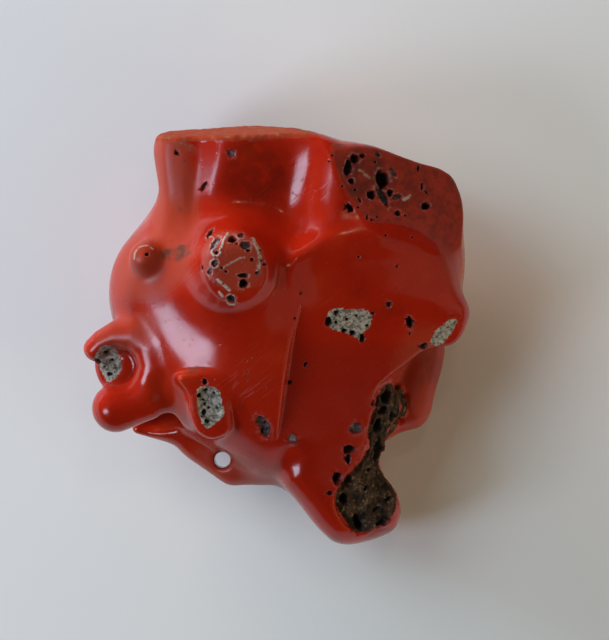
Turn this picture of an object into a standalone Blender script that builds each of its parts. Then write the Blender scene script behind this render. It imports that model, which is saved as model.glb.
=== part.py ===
"""Base of a red coral branch: a polished stub of precious coral with its broken and sawn side branches.

Every place below is in millimetres from the middle of the sawn foot: x to the right, y to the back, z up.
The coral is one field of blended forms. Simple bodies are fused and settled onto that field, the foot is
sawn flat, and the result is parted at the forks. Run it in Blender 4.5.
"""

import math

import bmesh
import bpy
import numpy as np
from mathutils import Matrix, Vector

MM = 0.001

# Driving dimensions
FORK_GAP = 0.3
FUSE_VOXEL = 0.62
SOLID_TRIANGLES = 6500
CORAL_RED = (0.302, 0.0137, 0.0056)
CORAL_ROUGHNESS = 0.18
PLAN_STEP = 0.25
PLAN_MARGIN = 14.0
SLOPE_STEP = 0.04

# Outlines seen from above, anticlockwise or not, only as many corners as the shape needs
NECK_OUTLINE = (
    (-16.4, 25.1), (-15.9, 27.2), (-14.6, 27.9), (-9.6, 28.3), (-4.2, 28.8), (1.2, 28.5), (4.5, 27.6),
    (7.6, 26.4), (9.5, 23.8), (9.5, 16.3), (3.4, 13.0), (-10.1, 12.3), (-15.6, 14.0), (-15.5, 17.8),
    (-15.6, 20.0), (-16.1, 22.7),
)
SHOULDER_OUTLINE = (
    (6.1, 26.5), (12.4, 25.7), (18.8, 23.3), (21.9, 22.6), (23.9, 21.4), (25.1, 18.6), (25.4, 15.5),
    (24.8, 10.6), (24.1, 7.8), (23.6, 4.6), (22.0, 2.4), (8.8, 3.6), (3.4, 10.3), (4.7, 23.8),
)
LEDGE_OUTLINE = (
    (2.0, 7.6), (3.4, 11.6), (10.1, 13.6), (16.9, 13.0), (22.0, 9.6), (23.6, 6.0), (26.2, 3.5),
    (25.2, 0.2), (23.8, -1.3), (20.2, -1.6), (16.8, -4.2), (12.2, -7.7),
    (10.4, -10.7), (6.1, -14.0), (2.0, -14.0), (1.1, -8.6),
)
LEG_OUTLINE = (
    (3.0, -12.0), (0.4, -19.4), (2.8, -22.3), (5.9, -26.3), (7.9, -28.2), (10.0, -28.6), (13.4, -27.9),
    (16.4, -26.6), (17.3, -24.0), (16.5, -21.1), (14.6, -18.9), (14.1, -17.0), (14.8, -14.6), (15.5, -12.6),
    (17.2, -9.9), (16.3, -7.4), (12.0, -5.5), (7.4, -8.0),
)
HEEL_OUTLINE = (
    (10.0, -1.0), (17.0, 2.0), (22.7, 2.0), (23.4, -1.5), (22.8, -4.8), (21.9, -7.8), (21.3, -10.8),
    (20.0, -12.6), (17.4, -13.2), (14.9, -14.4), (13.0, -9.3), (11.0, -5.0),
)
WEB_OUTLINE = (
    (-20.2, -13.0), (-16.7, -14.0), (-13.8, -14.9), (-12.4, -16.4), (-8.9, -18.8), (-6.3, -20.6), (-3.1, -20.2),
    (0.1, -19.6), (2.4, -20.6), (5.0, -18.1), (3.4, -11.0), (-4.7, -8.7), (-11.5, -5.0), (-17.0, -7.3),
)
FRONT_KNOB_OUTLINE = (
    (-12.9, -5.0), (-9.5, -4.6), (-7.0, -5.3), (-6.3, -7.0), (-5.6, -12.0), (-6.6, -13.3), (-8.5, -13.9),
    (-10.4, -12.9), (-11.4, -10.6), (-11.7, -7.4), (-13.0, -6.0),
)
CRUST_OUTLINE = (
    (13.6, -8.4), (12.9, -11.0), (12.3, -13.2), (12.9, -15.2), (10.4, -18.1), (8.5, -20.0), (7.8, -22.1),
    (8.5, -24.0), (9.9, -25.9), (11.6, -27.0), (13.5, -26.1), (15.4, -25.4), (16.3, -23.6), (16.6, -21.4),
    (16.0, -19.0), (15.4, -17.2), (15.6, -14.6), (16.4, -12.6), (18.4, -9.8), (17.2, -6.9), (14.9, -6.2),
)

# Where the branches are parted: outline from above, lowest and highest place
BRANCHES = {
    "neck": (((-40.0, 15.6), (7.0, 15.6), (7.0, 40.0), (-40.0, 40.0)), -5.0, 50.0),
    "shoulder": (((7.3, 12.5), (40.0, 12.5), (40.0, 40.0), (7.3, 40.0)), -5.0, 50.0),
    "left_fork": (((-24.4, 4.1), (-40.0, 4.1), (-40.0, -20.0), (-20.0, -20.0), (-12.6, -9.0)), 14.9, 50.0),
    "web": (((-40.0, -9.9), (-40.0, -40.0), (1.6, -40.0), (1.6, -16.1)), -5.0, 14.6),
    "lower_leg": (((1.9, -40.0), (40.0, -40.0), (40.0, -13.1), (1.9, -13.1)), -5.0, 50.0),
    "heel": (((15.0, -12.8), (40.0, -12.8), (40.0, 1.0), (13.8, 1.0), (13.8, -8.0)), -5.0, 12.1),
}

# Larger bored pores: place seen from above, length, width, turn from the x axis in degrees, depth
PORES = (
    (10.5, 23.4, 1.7, 1.3, 60.0, 1.2), (9.7, 22.0, 2.4, 1.1, 80.0, 1.2), (14.4, 20.8, 2.7, 1.6, 95.0, 1.6),
    (14.3, 18.7, 2.2, 1.2, 105.0, 1.1), (12.8, 18.6, 1.2, 1.1, 0.0, 0.9), (20.2, 17.3, 1.1, 1.0, 0.0, 0.9),
    (16.3, 16.3, 0.9, 0.8, 0.0, 0.8), (10.1, 16.7, 1.6, 1.1, 130.0, 1.0), (11.7, 24.0, 1.1, 0.7, 0.0, 0.8),
    (-5.5, 12.8, 1.3, 1.1, 20.0, 1.2), (-8.5, 13.4, 1.3, 0.8, 75.0, 0.9), (-3.5, 11.8, 1.9, 1.0, 0.0, 0.9),
    (-4.0, 6.8, 1.2, 1.1, 0.0, 1.2), (-7.8, 9.6, 1.2, 1.0, 0.0, 0.9), (-4.1, 8.2, 1.6, 0.7, 0.0, 0.8),
    (8.5, 2.6, 2.4, 1.8, 30.0, 0.7), (11.2, 1.6, 2.6, 2.2, -30.0, 0.8), (18.0, 1.7, 1.5, 0.9, 100.0, 0.9),
    (8.2, -19.0, 1.5, 1.0, 90.0, 0.9), (7.4, -21.3, 1.4, 0.9, 60.0, 0.9), (9.6, -22.6, 1.3, 0.9, 40.0, 1.0),
    (10.3, -15.1, 1.2, 1.0, 0.0, 0.9), (10.3, -12.7, 1.2, 1.0, 30.0, 0.9),
)
PORE_SIDES = 7

# Ground and broken faces, each through three places on it
SHOULDER_TOP = ((7.2, 22.2, 29.3), (14.9, 10.8, 27.2), (20.0, 22.2, 29.3))
SAWN_FACE = ((7.2, 26.5, 28.6), (14.9, 13.0, 27.0), (22.3, 21.1, 22.2))
GROUND_FACET = ((3.4, 5.0, 26.8), (1.1, -13.2, 22.4), (24.5, 3.0, 21.4))
LEDGE_TOP = ((3.4, 5.0, 27.9), (1.1, -13.2, 23.5), (24.5, 3.0, 22.5))
NECK_END = ((-15.0, 26.6, 24.0), (5.0, 27.2, 26.0), (-5.0, 28.6, 12.0))
KNOB_FACE = ((-9.0, -6.0, 26.6), (-6.0, -9.0, 26.0), (-9.0, -13.0, 24.8))
FACET_WALL = ((3.6, 5.3, 26.6), (0.3, -15.0, 21.8), (3.2, 5.4, 27.8))
FACET_RAMP = ((3.4, 5.5, 26.6), (24.0, 5.0, 21.5), (12.0, 9.5, 26.9))

# The neck's top from left to right, as distance across and height: at its broken end, then at its waist
NECK_BACK_Y = 27.0
NECK_BACK = (
    (-16.8, 21.6), (-14.9, 23.6), (-12.6, 24.2), (-10.2, 24.4), (-8.6, 25.1), (-6.8, 25.9), (-4.5, 26.2),
    (-0.5, 26.1), (2.2, 26.3), (4.4, 26.9), (6.4, 27.7), (8.5, 28.1), (11.0, 28.2),
)
NECK_FRONT_Y = 16.0
NECK_FRONT = (
    (-16.8, 20.6), (-14.6, 22.4), (-12.4, 23.2), (-11.0, 23.3), (-9.9, 23.8), (-8.4, 24.4), (-6.0, 24.6),
    (-2.0, 24.3), (1.5, 24.2), (4.0, 25.5), (6.3, 27.4), (7.8, 27.9), (11.0, 28.0),
)


class Ball:
    """An ellipsoid, turned about the vertical."""

    def __init__(self, centre, radii, turn=0.0):
        self.centre = np.array(centre, float)
        self.radii = np.array(radii, float)
        self.turn = math.radians(turn)

    def distance(self, points):
        away = points - self.centre
        cos, sin = math.cos(self.turn), math.sin(self.turn)
        own = np.stack(
            (cos * away[:, 0] + sin * away[:, 1], cos * away[:, 1] - sin * away[:, 0], away[:, 2]), axis=1
        )
        inner = np.linalg.norm(own / self.radii, axis=1)
        outer = np.linalg.norm(own / self.radii**2, axis=1)
        return inner * (inner - 1.0) / np.maximum(outer, 1e-6)

    def add_to(self, bm):
        made = bmesh.ops.create_icosphere(bm, subdivisions=4, radius=1.0)["verts"]
        cos, sin = math.cos(self.turn), math.sin(self.turn)
        for vert in made:
            x, y, z = Vector(vert.co) * Vector(self.radii)
            vert.co = Vector((cos * x - sin * y, sin * x + cos * y, z)) + Vector(self.centre)


class Limb:
    """A round branch through a few places, each with its own radius."""

    def __init__(self, *stations):
        self.places = np.array([place for place, _ in stations], float)
        self.radii = np.array([radius for _, radius in stations], float)

    def distance(self, points):
        nearest = np.full(len(points), np.inf)
        for k in range(len(self.places) - 1):
            start, along = self.places[k], self.places[k + 1] - self.places[k]
            share = np.clip((points - start) @ along / (along @ along), 0.0, 1.0)
            radius = self.radii[k] + share * (self.radii[k + 1] - self.radii[k])
            away = np.linalg.norm(points - start - share[:, None] * along, axis=1)
            nearest = np.minimum(nearest, away - radius)
        return nearest

    def add_to(self, bm):
        steps = 8
        for k in range(len(self.places) - 1):
            for share in np.linspace(0.0, 1.0, steps):
                centre = self.places[k] + share * (self.places[k + 1] - self.places[k])
                radius = self.radii[k] + share * (self.radii[k + 1] - self.radii[k])
                Ball(centre, (radius, radius, radius)).add_to(bm)


class Pebble:
    """A rounded slab with an outline seen from above, between two heights, its top sloped where a face is given."""

    def __init__(self, outline, low, high, edge, top=None):
        self.corners = rounded_outline(outline)
        self.low = low
        self.high = high
        self.edge = edge
        self.top = top
        self.low_corner = self.corners.min(axis=0) - PLAN_MARGIN
        self.plan = plan_distances(self.corners, self.low_corner)

    def distance(self, points):
        across = grid_value(self.plan, (points[:, :2] - self.low_corner) / PLAN_STEP) + self.edge
        over = points[:, 2] - self.high if self.top is None else plane(points, self.top)
        upright = np.maximum(over, self.low - points[:, 2]) + self.edge
        outside = np.hypot(np.maximum(across, 0.0), np.maximum(upright, 0.0))
        return outside + np.minimum(np.maximum(across, upright), 0.0) - self.edge

    def add_to(self, bm):
        verts = [bm.verts.new((x, y, self.low)) for x, y in self.corners]
        base = bm.faces.new(verts)
        raised = bmesh.ops.extrude_face_region(bm, geom=[base])["geom"]
        tops = [item for item in raised if isinstance(item, bmesh.types.BMVert)]
        bmesh.ops.translate(bm, verts=tops, vec=(0.0, 0.0, self.high - self.low))


class Relief:
    """A rolling top: heights at stations across it, which drift from its back row to its front row."""

    def __init__(self, back_y, back, front_y, front):
        self.back_y = back_y
        self.front_y = front_y
        self.back = np.array(back, float)
        self.front = np.array(front, float)

    def above(self, points):
        share = eased((self.back_y - points[:, 1]) / (self.back_y - self.front_y))[:, None]
        across = self.back[:, 0] + share * (self.front[:, 0] - self.back[:, 0])
        heights = self.back[:, 1] + share * (self.front[:, 1] - self.back[:, 1])
        rise, span = np.diff(heights), np.diff(across)
        slopes = np.zeros(heights.shape)
        slopes[:, 1:-1] = (rise[:, 1:] + rise[:, :-1]) / (span[:, 1:] + span[:, :-1])
        height = heights[:, 0].copy()
        for k in range(span.shape[1]):
            part = np.clip((points[:, 0] - across[:, k]) / span[:, k], 0.0, 1.0)
            start, end = slopes[:, k] * span[:, k], slopes[:, k + 1] * span[:, k]
            bow = 3 * rise[:, k] - 2 * start - end + part * (start + end - 2 * rise[:, k])
            height = np.where(part > 0.0, heights[:, k] + part * start + part**2 * bow, height)
        return (points[:, 2] - height) * 0.85


def eased(share):
    """The share from nought to one, with a soft start and end."""
    share = np.clip(share, 0.0, 1.0)
    return share * share * (3.0 - 2.0 * share)


def rounded_outline(outline, rounds=2):
    """The outline with its corners cut, twice by default."""
    corners = np.array(outline, float)
    for _ in range(rounds):
        ahead = np.roll(corners, -1, axis=0)
        corners = np.stack((0.8 * corners + 0.2 * ahead, 0.2 * corners + 0.8 * ahead), axis=1).reshape(-1, 2)
    return corners


def plan_distances(corners, low_corner):
    """Signed distance to a closed outline on a square grid, negative inside."""
    span = corners.max(axis=0) + PLAN_MARGIN - low_corner
    counts = np.ceil(span / PLAN_STEP).astype(int) + 1
    xs, ys = (low_corner[k] + PLAN_STEP * np.arange(counts[k]) for k in (0, 1))
    grid = np.stack(np.meshgrid(xs, ys, indexing="ij"), axis=-1)
    nearest = np.full(grid.shape[:2], np.inf)
    inside = np.zeros(grid.shape[:2], bool)
    for start, end in zip(corners, np.roll(corners, -1, axis=0)):
        along = end - start
        away = grid - start
        share = np.clip(away @ along / (along @ along), 0.0, 1.0)
        nearest = np.minimum(nearest, np.linalg.norm(away - share[..., None] * along, axis=-1))
        crosses = (start[1] > grid[..., 1]) != (end[1] > grid[..., 1])
        height = along[1] if abs(along[1]) > 1e-9 else 1e-9
        inside ^= crosses & (away[..., 0] < away[..., 1] * along[0] / height)
    return np.where(inside, -nearest, nearest)


def grid_value(grid, place):
    """The grid read between its points."""
    place = np.clip(place, 0.0, np.array(grid.shape) - 1.001)
    cell = place.astype(int)
    fx, fy = (place - cell).T
    i, j = cell.T
    near = grid[i, j] * (1 - fy) + grid[i, j + 1] * fy
    far = grid[i + 1, j] * (1 - fy) + grid[i + 1, j + 1] * fy
    return near * (1 - fx) + far * fx


def plane(points, face):
    """Signed distance above the plane through three places, positive towards the viewer above."""
    a, b, c = (np.array(place, float) for place in face)
    normal = np.cross(b - a, c - a)
    normal /= np.linalg.norm(normal)
    if normal[2] < 0:
        normal = -normal
    return (points - a) @ normal


def blend(first, second, soft):
    """Union of two fields with a fillet about as wide as soft."""
    overlap = np.maximum(soft - np.abs(first - second), 0.0) / soft
    return np.minimum(first, second) - overlap**2 * soft / 4


def carve(field, tool, soft):
    """The field with the tool's inside taken away, its edge eased by soft."""
    return -blend(-field, tool, soft)


# The coral's forms
CORE = Ball((1.0, 1.0, 13.0), (17.0, 14.0, 13.0))
FOOT = Ball((0.0, 0.0, 1.0), (14.5, 13.5, 9.0))
DOME = Ball((-1.0, 0.0, 14.0), (18.0, 15.2, 13.8))
LEFT_SHOULDER = Ball((-10.4, 5.8, 15.0), (12.2, 11.6, 11.6))
RIDGE = Ball((12.6, 8.5, 13.0), (12.0, 10.5, 13.4), -6.0)
FRONT_SLOPE = Ball((-0.8, -8.0, 10.5), (7.6, 12.0, 12.6))
LEDGE = Pebble(LEDGE_OUTLINE, 12.5, 28.0, 1.4, LEDGE_TOP)
NECK = Pebble(NECK_OUTLINE, 6.0, 31.0, 2.5)
NECK_TOP = Relief(NECK_BACK_Y, NECK_BACK, NECK_FRONT_Y, NECK_FRONT)
SHOULDER = Pebble(SHOULDER_OUTLINE, 5.0, 28.6, 5.5, SHOULDER_TOP)
UPPER_PRONG = Limb(
    ((-24.1, -1.7, 18.6), 1.75), ((-23.1, -0.8, 19.2), 1.8), ((-21.0, 0.1, 19.8), 2.1), ((-18.6, 0.2, 20.4), 2.4),
    ((-16.8, -1.4, 20.6), 2.4), ((-16.2, -4.0, 20.4), 2.3), ((-17.2, -7.0, 19.6), 2.3),
)
LOWER_PRONG = Limb(((-21.4, -9.7, 18.4), 3.3), ((-17.2, -8.6, 19.0), 2.8), ((-12.8, -6.4, 18.4), 2.4))
FORK_FILL = Ball((-20.2, -3.8, 17.0), (4.2, 4.4, 2.1))
LEG = Pebble(LEG_OUTLINE, 3.0, 26.0, 4.5, GROUND_FACET)
HEEL = Pebble(HEEL_OUTLINE, 2.0, 11.0, 3.8)
WEB = Pebble(WEB_OUTLINE, 6.5, 13.5, 2.4)
FRONT_KNOB = Pebble(FRONT_KNOB_OUTLINE, 17.0, 30.0, 1.3)
TOP_KNOB = Ball((-5.3, 9.1, 29.2), (5.0, 5.3, 6.0))
TOP_KNOB_FACE = ((-5.0, 9.0, 33.4), (0.0, 9.0, 32.7), (-5.0, 4.0, 32.5))
TOP_KNOB_ROOT = Ball((-4.8, 8.0, 25.0), (6.8, 6.8, 6.0))
SMALL_KNOB = Ball((-17.3, 10.5, 23.2), (2.2, 2.2, 2.4))

# What is worn, bored or broken away
FORK_MOUTH = Ball((-22.1, -3.9, 21.7), (2.2, 2.7, 3.2), -20.0)
HOLE_X = -7.2
HOLE_Y = -16.9
HOLE_RADIUS = 1.1
WEB_HOLE = Limb(((HOLE_X, HOLE_Y, 0.0), HOLE_RADIUS), ((HOLE_X, HOLE_Y, 24.0), HOLE_RADIUS))
WEB_HOLLOW = Ball((-15.6, -10.9, 15.0), (5.6, 2.3, 3.6), 22.0)
CRUST = Pebble(CRUST_OUTLINE, 0.0, 40.0, 0.8)
CRUST_DEPTH = 1.1
KNOB_CORE = Ball((-8.8, -9.4, 25.9), (1.5, 2.7, 1.0), 6.0)
FRONT_PIT = Ball((-1.6, -11.7, 23.6), (0.8, 1.7, 1.8), 14.0)

TRUNK_FORMS = (
    (CORE, 0.0), (FOOT, 4.0), (DOME, 3.0), (LEFT_SHOULDER, 3.0), (RIDGE, 3.0), (FRONT_SLOPE, 4.0), (LEDGE, 1.5),
    (LEG, 2.0),
)


def facet_region(points):
    """What is ground away over the broad front facet, above its plane and right of its wall."""
    above = -plane(points, GROUND_FACET)
    behind = -plane(points, FACET_RAMP)
    right = wall_distance(points)
    return np.maximum(-blend(-above, -behind, 5.0), right)


def wall_distance(points):
    """Distance from the facet's wall, negative on the facet's side."""
    a, b, c = (np.array(place, float) for place in FACET_WALL)
    normal = np.cross(b - a, c - a)
    normal /= np.linalg.norm(normal)
    return (points - a) @ (normal if normal[0] < 0 else -normal)


def trunk(points):
    field = CORE.distance(points)
    for form, soft in TRUNK_FORMS[1:]:
        field = blend(field, form.distance(points), soft)
    crisp = 0.35 + 2.4 * eased((points[:, 1] - 4.5) / 4.0)
    field = carve(field, facet_region(points), crisp)
    return carve(field, crust_hollow(points), 0.5)


def crust_hollow(points):
    """The broken hollow of the lower leg, down to its brown crust."""
    return np.maximum(CRUST.distance(points), -plane(points, GROUND_FACET) - CRUST_DEPTH)


def upper_branches(points):
    field = carve(NECK.distance(points), -NECK_TOP.above(points), 2.0)
    field = carve(field, -plane(points, NECK_END), 0.5)
    field = blend(field, SHOULDER.distance(points), 1.2)
    crisp = 0.3 + 3.5 * eased((12.5 - points[:, 1]) / 3.0)
    return carve(field, -plane(points, SAWN_FACE), crisp)


def top_knob(points):
    return carve(TOP_KNOB.distance(points), -plane(points, TOP_KNOB_FACE), 1.2)


def left_fork(points):
    field = blend(UPPER_PRONG.distance(points), LOWER_PRONG.distance(points), 1.2)
    return blend(field, FORK_FILL.distance(points), 0.8)


def front_knob(points):
    field = carve(FRONT_KNOB.distance(points), -plane(points, KNOB_FACE), 0.9)
    return carve(field, KNOB_CORE.distance(points), 0.4)


def coral(points):
    """The whole coral's field, in millimetres: negative inside."""
    field = blend(trunk(points), upper_branches(points), 3.0)
    field = blend(field, TOP_KNOB_ROOT.distance(points), 3.0)
    field = blend(field, top_knob(points), 1.4)
    field = blend(field, SMALL_KNOB.distance(points), 1.2)
    field = blend(field, left_fork(points), 1.4)
    field = blend(field, HEEL.distance(points), 1.6)
    field = blend(field, WEB.distance(points), 2.0)
    field = carve(field, WEB_HOLLOW.distance(points), 1.2)
    field = blend(field, front_knob(points), 0.9)
    field = carve(field, FORK_MOUTH.distance(points), 0.8)
    field = carve(field, FRONT_PIT.distance(points), 0.4)
    return carve(field, WEB_HOLE.distance(points), 0.8)


SOLID_FORMS = (
    CORE, FOOT, DOME, LEFT_SHOULDER, RIDGE, FRONT_SLOPE, LEDGE, NECK, SHOULDER, UPPER_PRONG, LOWER_PRONG,
    FORK_FILL, LEG, HEEL, WEB, FRONT_KNOB, TOP_KNOB, TOP_KNOB_ROOT, SMALL_KNOB,
)


def clear_scene():
    for old in list(bpy.data.objects):
        bpy.data.objects.remove(old)


def new_object(name, mesh):
    made = bpy.data.objects.new(name, mesh)
    bpy.context.scene.collection.objects.link(made)
    return made


def evaluated_mesh(source):
    """A copy of the object's mesh with its modifiers applied."""
    bpy.context.view_layer.update()
    graph = bpy.context.evaluated_depsgraph_get()
    return bpy.data.meshes.new_from_object(source.evaluated_get(graph))


def start_bodies():
    """The forms' plain bodies, overlapping."""
    bm = bmesh.new()
    for form in SOLID_FORMS:
        form.add_to(bm)
    bmesh.ops.recalc_face_normals(bm, faces=bm.faces)
    mesh = bpy.data.meshes.new("start_bodies")
    bm.to_mesh(mesh)
    bm.free()
    return mesh


def web_drill():
    bore = bmesh.new()
    bmesh.ops.create_cone(
        bore, cap_ends=True, segments=16, radius1=HOLE_RADIUS, radius2=HOLE_RADIUS, depth=60.0,
        matrix=Matrix.Translation((HOLE_X, HOLE_Y, 12.0)),
    )
    mesh = bpy.data.meshes.new("web_drill")
    bore.to_mesh(mesh)
    bore.free()
    drill = new_object("web_drill", mesh)
    drill.display_type = "WIRE"
    drill.hide_render = True
    return drill


def even_skin(mesh, voxel, drill=None):
    """One closed skin of even squares round whatever the mesh encloses, bored where a drill is given."""
    rough = new_object("rough_coral", mesh)
    fuse = rough.modifiers.new("Fuse", "REMESH")
    fuse.mode = "VOXEL"
    fuse.voxel_size = voxel
    if drill is not None:
        bored = rough.modifiers.new("Bore", "BOOLEAN")
        bored.operation = "DIFFERENCE"
        bored.solver = "EXACT"
        bored.object = drill
    skin = evaluated_mesh(rough)
    bpy.data.objects.remove(rough)
    return skin


def slope_of(field, places):
    """The field's value and gradient, from four places round each point."""
    corners = np.array(((1, 1, 1), (1, -1, -1), (-1, 1, -1), (-1, -1, 1)), float)
    values = np.stack([field(places + SLOPE_STEP * corner) for corner in corners])
    return values.mean(axis=0), (values.T @ corners) / (4 * SLOPE_STEP)


def settle(mesh, field, rounds, ease=0.5):
    """Moves the mesh's points onto the field's surface, spreading them evenly along it between moves."""
    count = len(mesh.vertices)
    places = np.empty(count * 3)
    mesh.vertices.foreach_get("co", places)
    places = places.reshape(-1, 3)
    ends = np.empty(len(mesh.edges) * 2, np.int64)
    mesh.edges.foreach_get("vertices", ends)
    ends = ends.reshape(-1, 2)
    both = np.concatenate((ends, ends[:, ::-1]))
    links = np.maximum(np.bincount(both[:, 0], minlength=count), 1)
    for turn in range(rounds):
        value, slope = slope_of(field, places)
        steep = np.maximum((slope**2).sum(axis=1), 0.05)
        move = np.clip(value / steep, -0.8, 0.8)
        places -= move[:, None] * slope
        if turn >= rounds - 2:
            continue
        middle = np.stack([np.bincount(both[:, 0], places[both[:, 1], k], count) for k in range(3)], axis=1)
        pull = middle / links[:, None] - places
        normal = slope / np.sqrt(steep)[:, None]
        places += ease * (pull - (pull * normal).sum(axis=1)[:, None] * normal)
    mesh.vertices.foreach_set("co", places.ravel())
    mesh.update()


def saw_flat(mesh):
    """Saws the mesh flat at height zero, as the branch was cut from the rock."""
    bm = bmesh.new()
    bm.from_mesh(mesh)
    geometry = bm.verts[:] + bm.edges[:] + bm.faces[:]
    cut = bmesh.ops.bisect_plane(
        bm, geom=geometry, dist=1e-4, plane_co=(0, 0, 0), plane_no=(0, 0, 1), clear_inner=True
    )
    rim = [item for item in cut["geom_cut"] if isinstance(item, bmesh.types.BMEdge)]
    bmesh.ops.contextual_create(bm, geom=rim)
    bmesh.ops.recalc_face_normals(bm, faces=bm.faces)
    bm.to_mesh(mesh)
    bm.free()


def thinned(mesh, triangles):
    """The mesh with about that many triangles, most of them where it bends."""
    source = new_object("thinned_coral", mesh)
    thin = source.modifiers.new("Thin", "DECIMATE")
    mesh.calc_loop_triangles()
    thin.ratio = triangles / len(mesh.loop_triangles)
    thin.use_collapse_triangulate = True
    made = evaluated_mesh(source)
    bpy.data.objects.remove(source)
    return made


def grown_coral(voxel, rounds=10):
    drill = web_drill()
    mesh = even_skin(start_bodies(), voxel, drill)
    bpy.data.objects.remove(drill)
    mesh = even_skin(mesh, voxel)
    settle(mesh, coral, rounds)
    mesh = even_skin(mesh, voxel)
    settle(mesh, coral, rounds)
    return mesh


def top_of_coral(places):
    """How high the coral's surface stands over places in the plan, found from above."""
    points = np.column_stack((places, np.full(len(places), 36.0)))
    for _ in range(60):
        points[:, 2] -= np.clip(coral(points), -0.3, 0.8) * 0.7
    return points[:, 2]


def pore_cutters():
    """The cutters of the larger pores, each a round pit sunk into the surface."""
    tops = top_of_coral(np.array([pore[:2] for pore in PORES]))
    bm = bmesh.new()
    for (x, y, length, width, turn, depth), top in zip(PORES, tops):
        size = Matrix.Diagonal((length / 2, width / 2, depth, 1.0))
        place = Matrix.Translation((x, y, top)) @ Matrix.Rotation(math.radians(turn), 4, "Z")
        bmesh.ops.create_uvsphere(bm, u_segments=PORE_SIDES, v_segments=4, radius=1.0, matrix=place @ size)
    return cutter_from(bm, "pore_cutters")


def cutter_from(bm, name):
    mesh = bpy.data.meshes.new(name)
    bm.to_mesh(mesh)
    bm.free()
    cutter = new_object(name, mesh)
    cutter.display_type = "WIRE"
    cutter.hide_render = True
    return cutter


def grown_outline(outline, margin):
    """The outline, anticlockwise or not, with every side moved out by the margin."""
    corners = np.array(outline, float)
    middle = corners.mean(axis=0)
    grown = []
    for k, corner in enumerate(corners):
        before, after = corner - corners[k - 1], corners[(k + 1) % len(corners)] - corner
        sides = []
        for along in (before, after):
            normal = np.array((along[1], -along[0])) / np.linalg.norm(along)
            sides.append(normal if normal @ (corner - middle) > 0 else -normal)
        shift = np.linalg.solve(np.array(sides), (margin, margin))
        grown.append(tuple(corner + shift))
    return grown


def branch_cutter(name, margin):
    """The block that parts one branch from the rest, grown by the margin."""
    outline, low, high = BRANCHES[name]
    bm = bmesh.new()
    verts = [bm.verts.new((x, y, low - margin)) for x, y in grown_outline(outline, margin)]
    raised = bmesh.ops.extrude_face_region(bm, geom=[bm.faces.new(verts)])["geom"]
    tops = [item for item in raised if isinstance(item, bmesh.types.BMVert)]
    bmesh.ops.translate(bm, verts=tops, vec=(0.0, 0.0, high - low + 2 * margin))
    bmesh.ops.recalc_face_normals(bm, faces=bm.faces)
    return cutter_from(bm, name + "_block")


def cut_mesh(mesh, cuts, solver="EXACT"):
    """The mesh after a row of Booleans, each an operation with its cutter."""
    body = new_object("cut_coral", mesh)
    for operation, cutter in cuts:
        step = body.modifiers.new(cutter.name, "BOOLEAN")
        step.operation = operation
        step.solver = solver
        step.object = cutter
    made = evaluated_mesh(body)
    bpy.data.objects.remove(body)
    return made


def largest_body(mesh):
    """The mesh without the crumbs that a cut leaves beside its main body."""
    bm = bmesh.new()
    bm.from_mesh(mesh)
    left = set(bm.verts)
    bodies = []
    while left:
        body = {left.pop()}
        edge = list(body)
        while edge:
            near = {link.other_vert(vert) for vert in edge for link in vert.link_edges}
            edge = list(near - body)
            body |= near
        left -= body
        bodies.append(body)
    bodies.sort(key=len)
    crumbs = [vert for body in bodies[:-1] for vert in body]
    bmesh.ops.delete(bm, geom=crumbs, context="VERTS")
    bmesh.ops.triangulate(bm, faces=bm.faces)
    bm.to_mesh(mesh)
    bm.free()


def coral_material(name):
    made = bpy.data.materials.new(name)
    made.use_nodes = True
    shader = made.node_tree.nodes["Principled BSDF"]
    shader.inputs["Base Color"].default_value = (*CORAL_RED, 1.0)
    shader.inputs["Roughness"].default_value = CORAL_ROUGHNESS
    return made


def finish_node(name, mesh):
    """One named solid in metres, smooth where the coral is round."""
    largest_body(mesh)
    mesh.transform(Matrix.Scale(MM, 4))
    mesh.materials.clear()
    mesh.materials.append(coral_material(name + "_coral"))
    mesh.shade_smooth()
    node = new_object(name, mesh)
    mesh.name = name
    return node


def main():
    clear_scene()
    mesh = grown_coral(FUSE_VOXEL)
    saw_flat(mesh)
    mesh = thinned(mesh, SOLID_TRIANGLES)
    pores = pore_cutters()
    bored = cut_mesh(mesh, [("DIFFERENCE", pores)], "MANIFOLD")
    for name in BRANCHES:
        block = branch_cutter(name, 0.0)
        finish_node(name, cut_mesh(bored.copy(), [("INTERSECT", block)]))
        bpy.data.objects.remove(block)
    blocks = [branch_cutter(name, FORK_GAP) for name in BRANCHES]
    finish_node("trunk", cut_mesh(bored, [("DIFFERENCE", block) for block in blocks]))
    for cutter in [pores, *blocks]:
        bpy.data.objects.remove(cutter)


if __name__ == "__main__":
    main()
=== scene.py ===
"""Looks of the red coral branch base: its polished skin with pores, lime, crust and wear, and its studio.

Places on the coral are in millimetres from the middle of its sawn foot: x to the right, y to the back, z up.
The skin is grown from the same forms as the solids, refined where it carries detail, and brought to metres.
"""

import math

import bmesh
import bpy
import numpy as np
from mathutils import Matrix, Vector, noise


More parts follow.
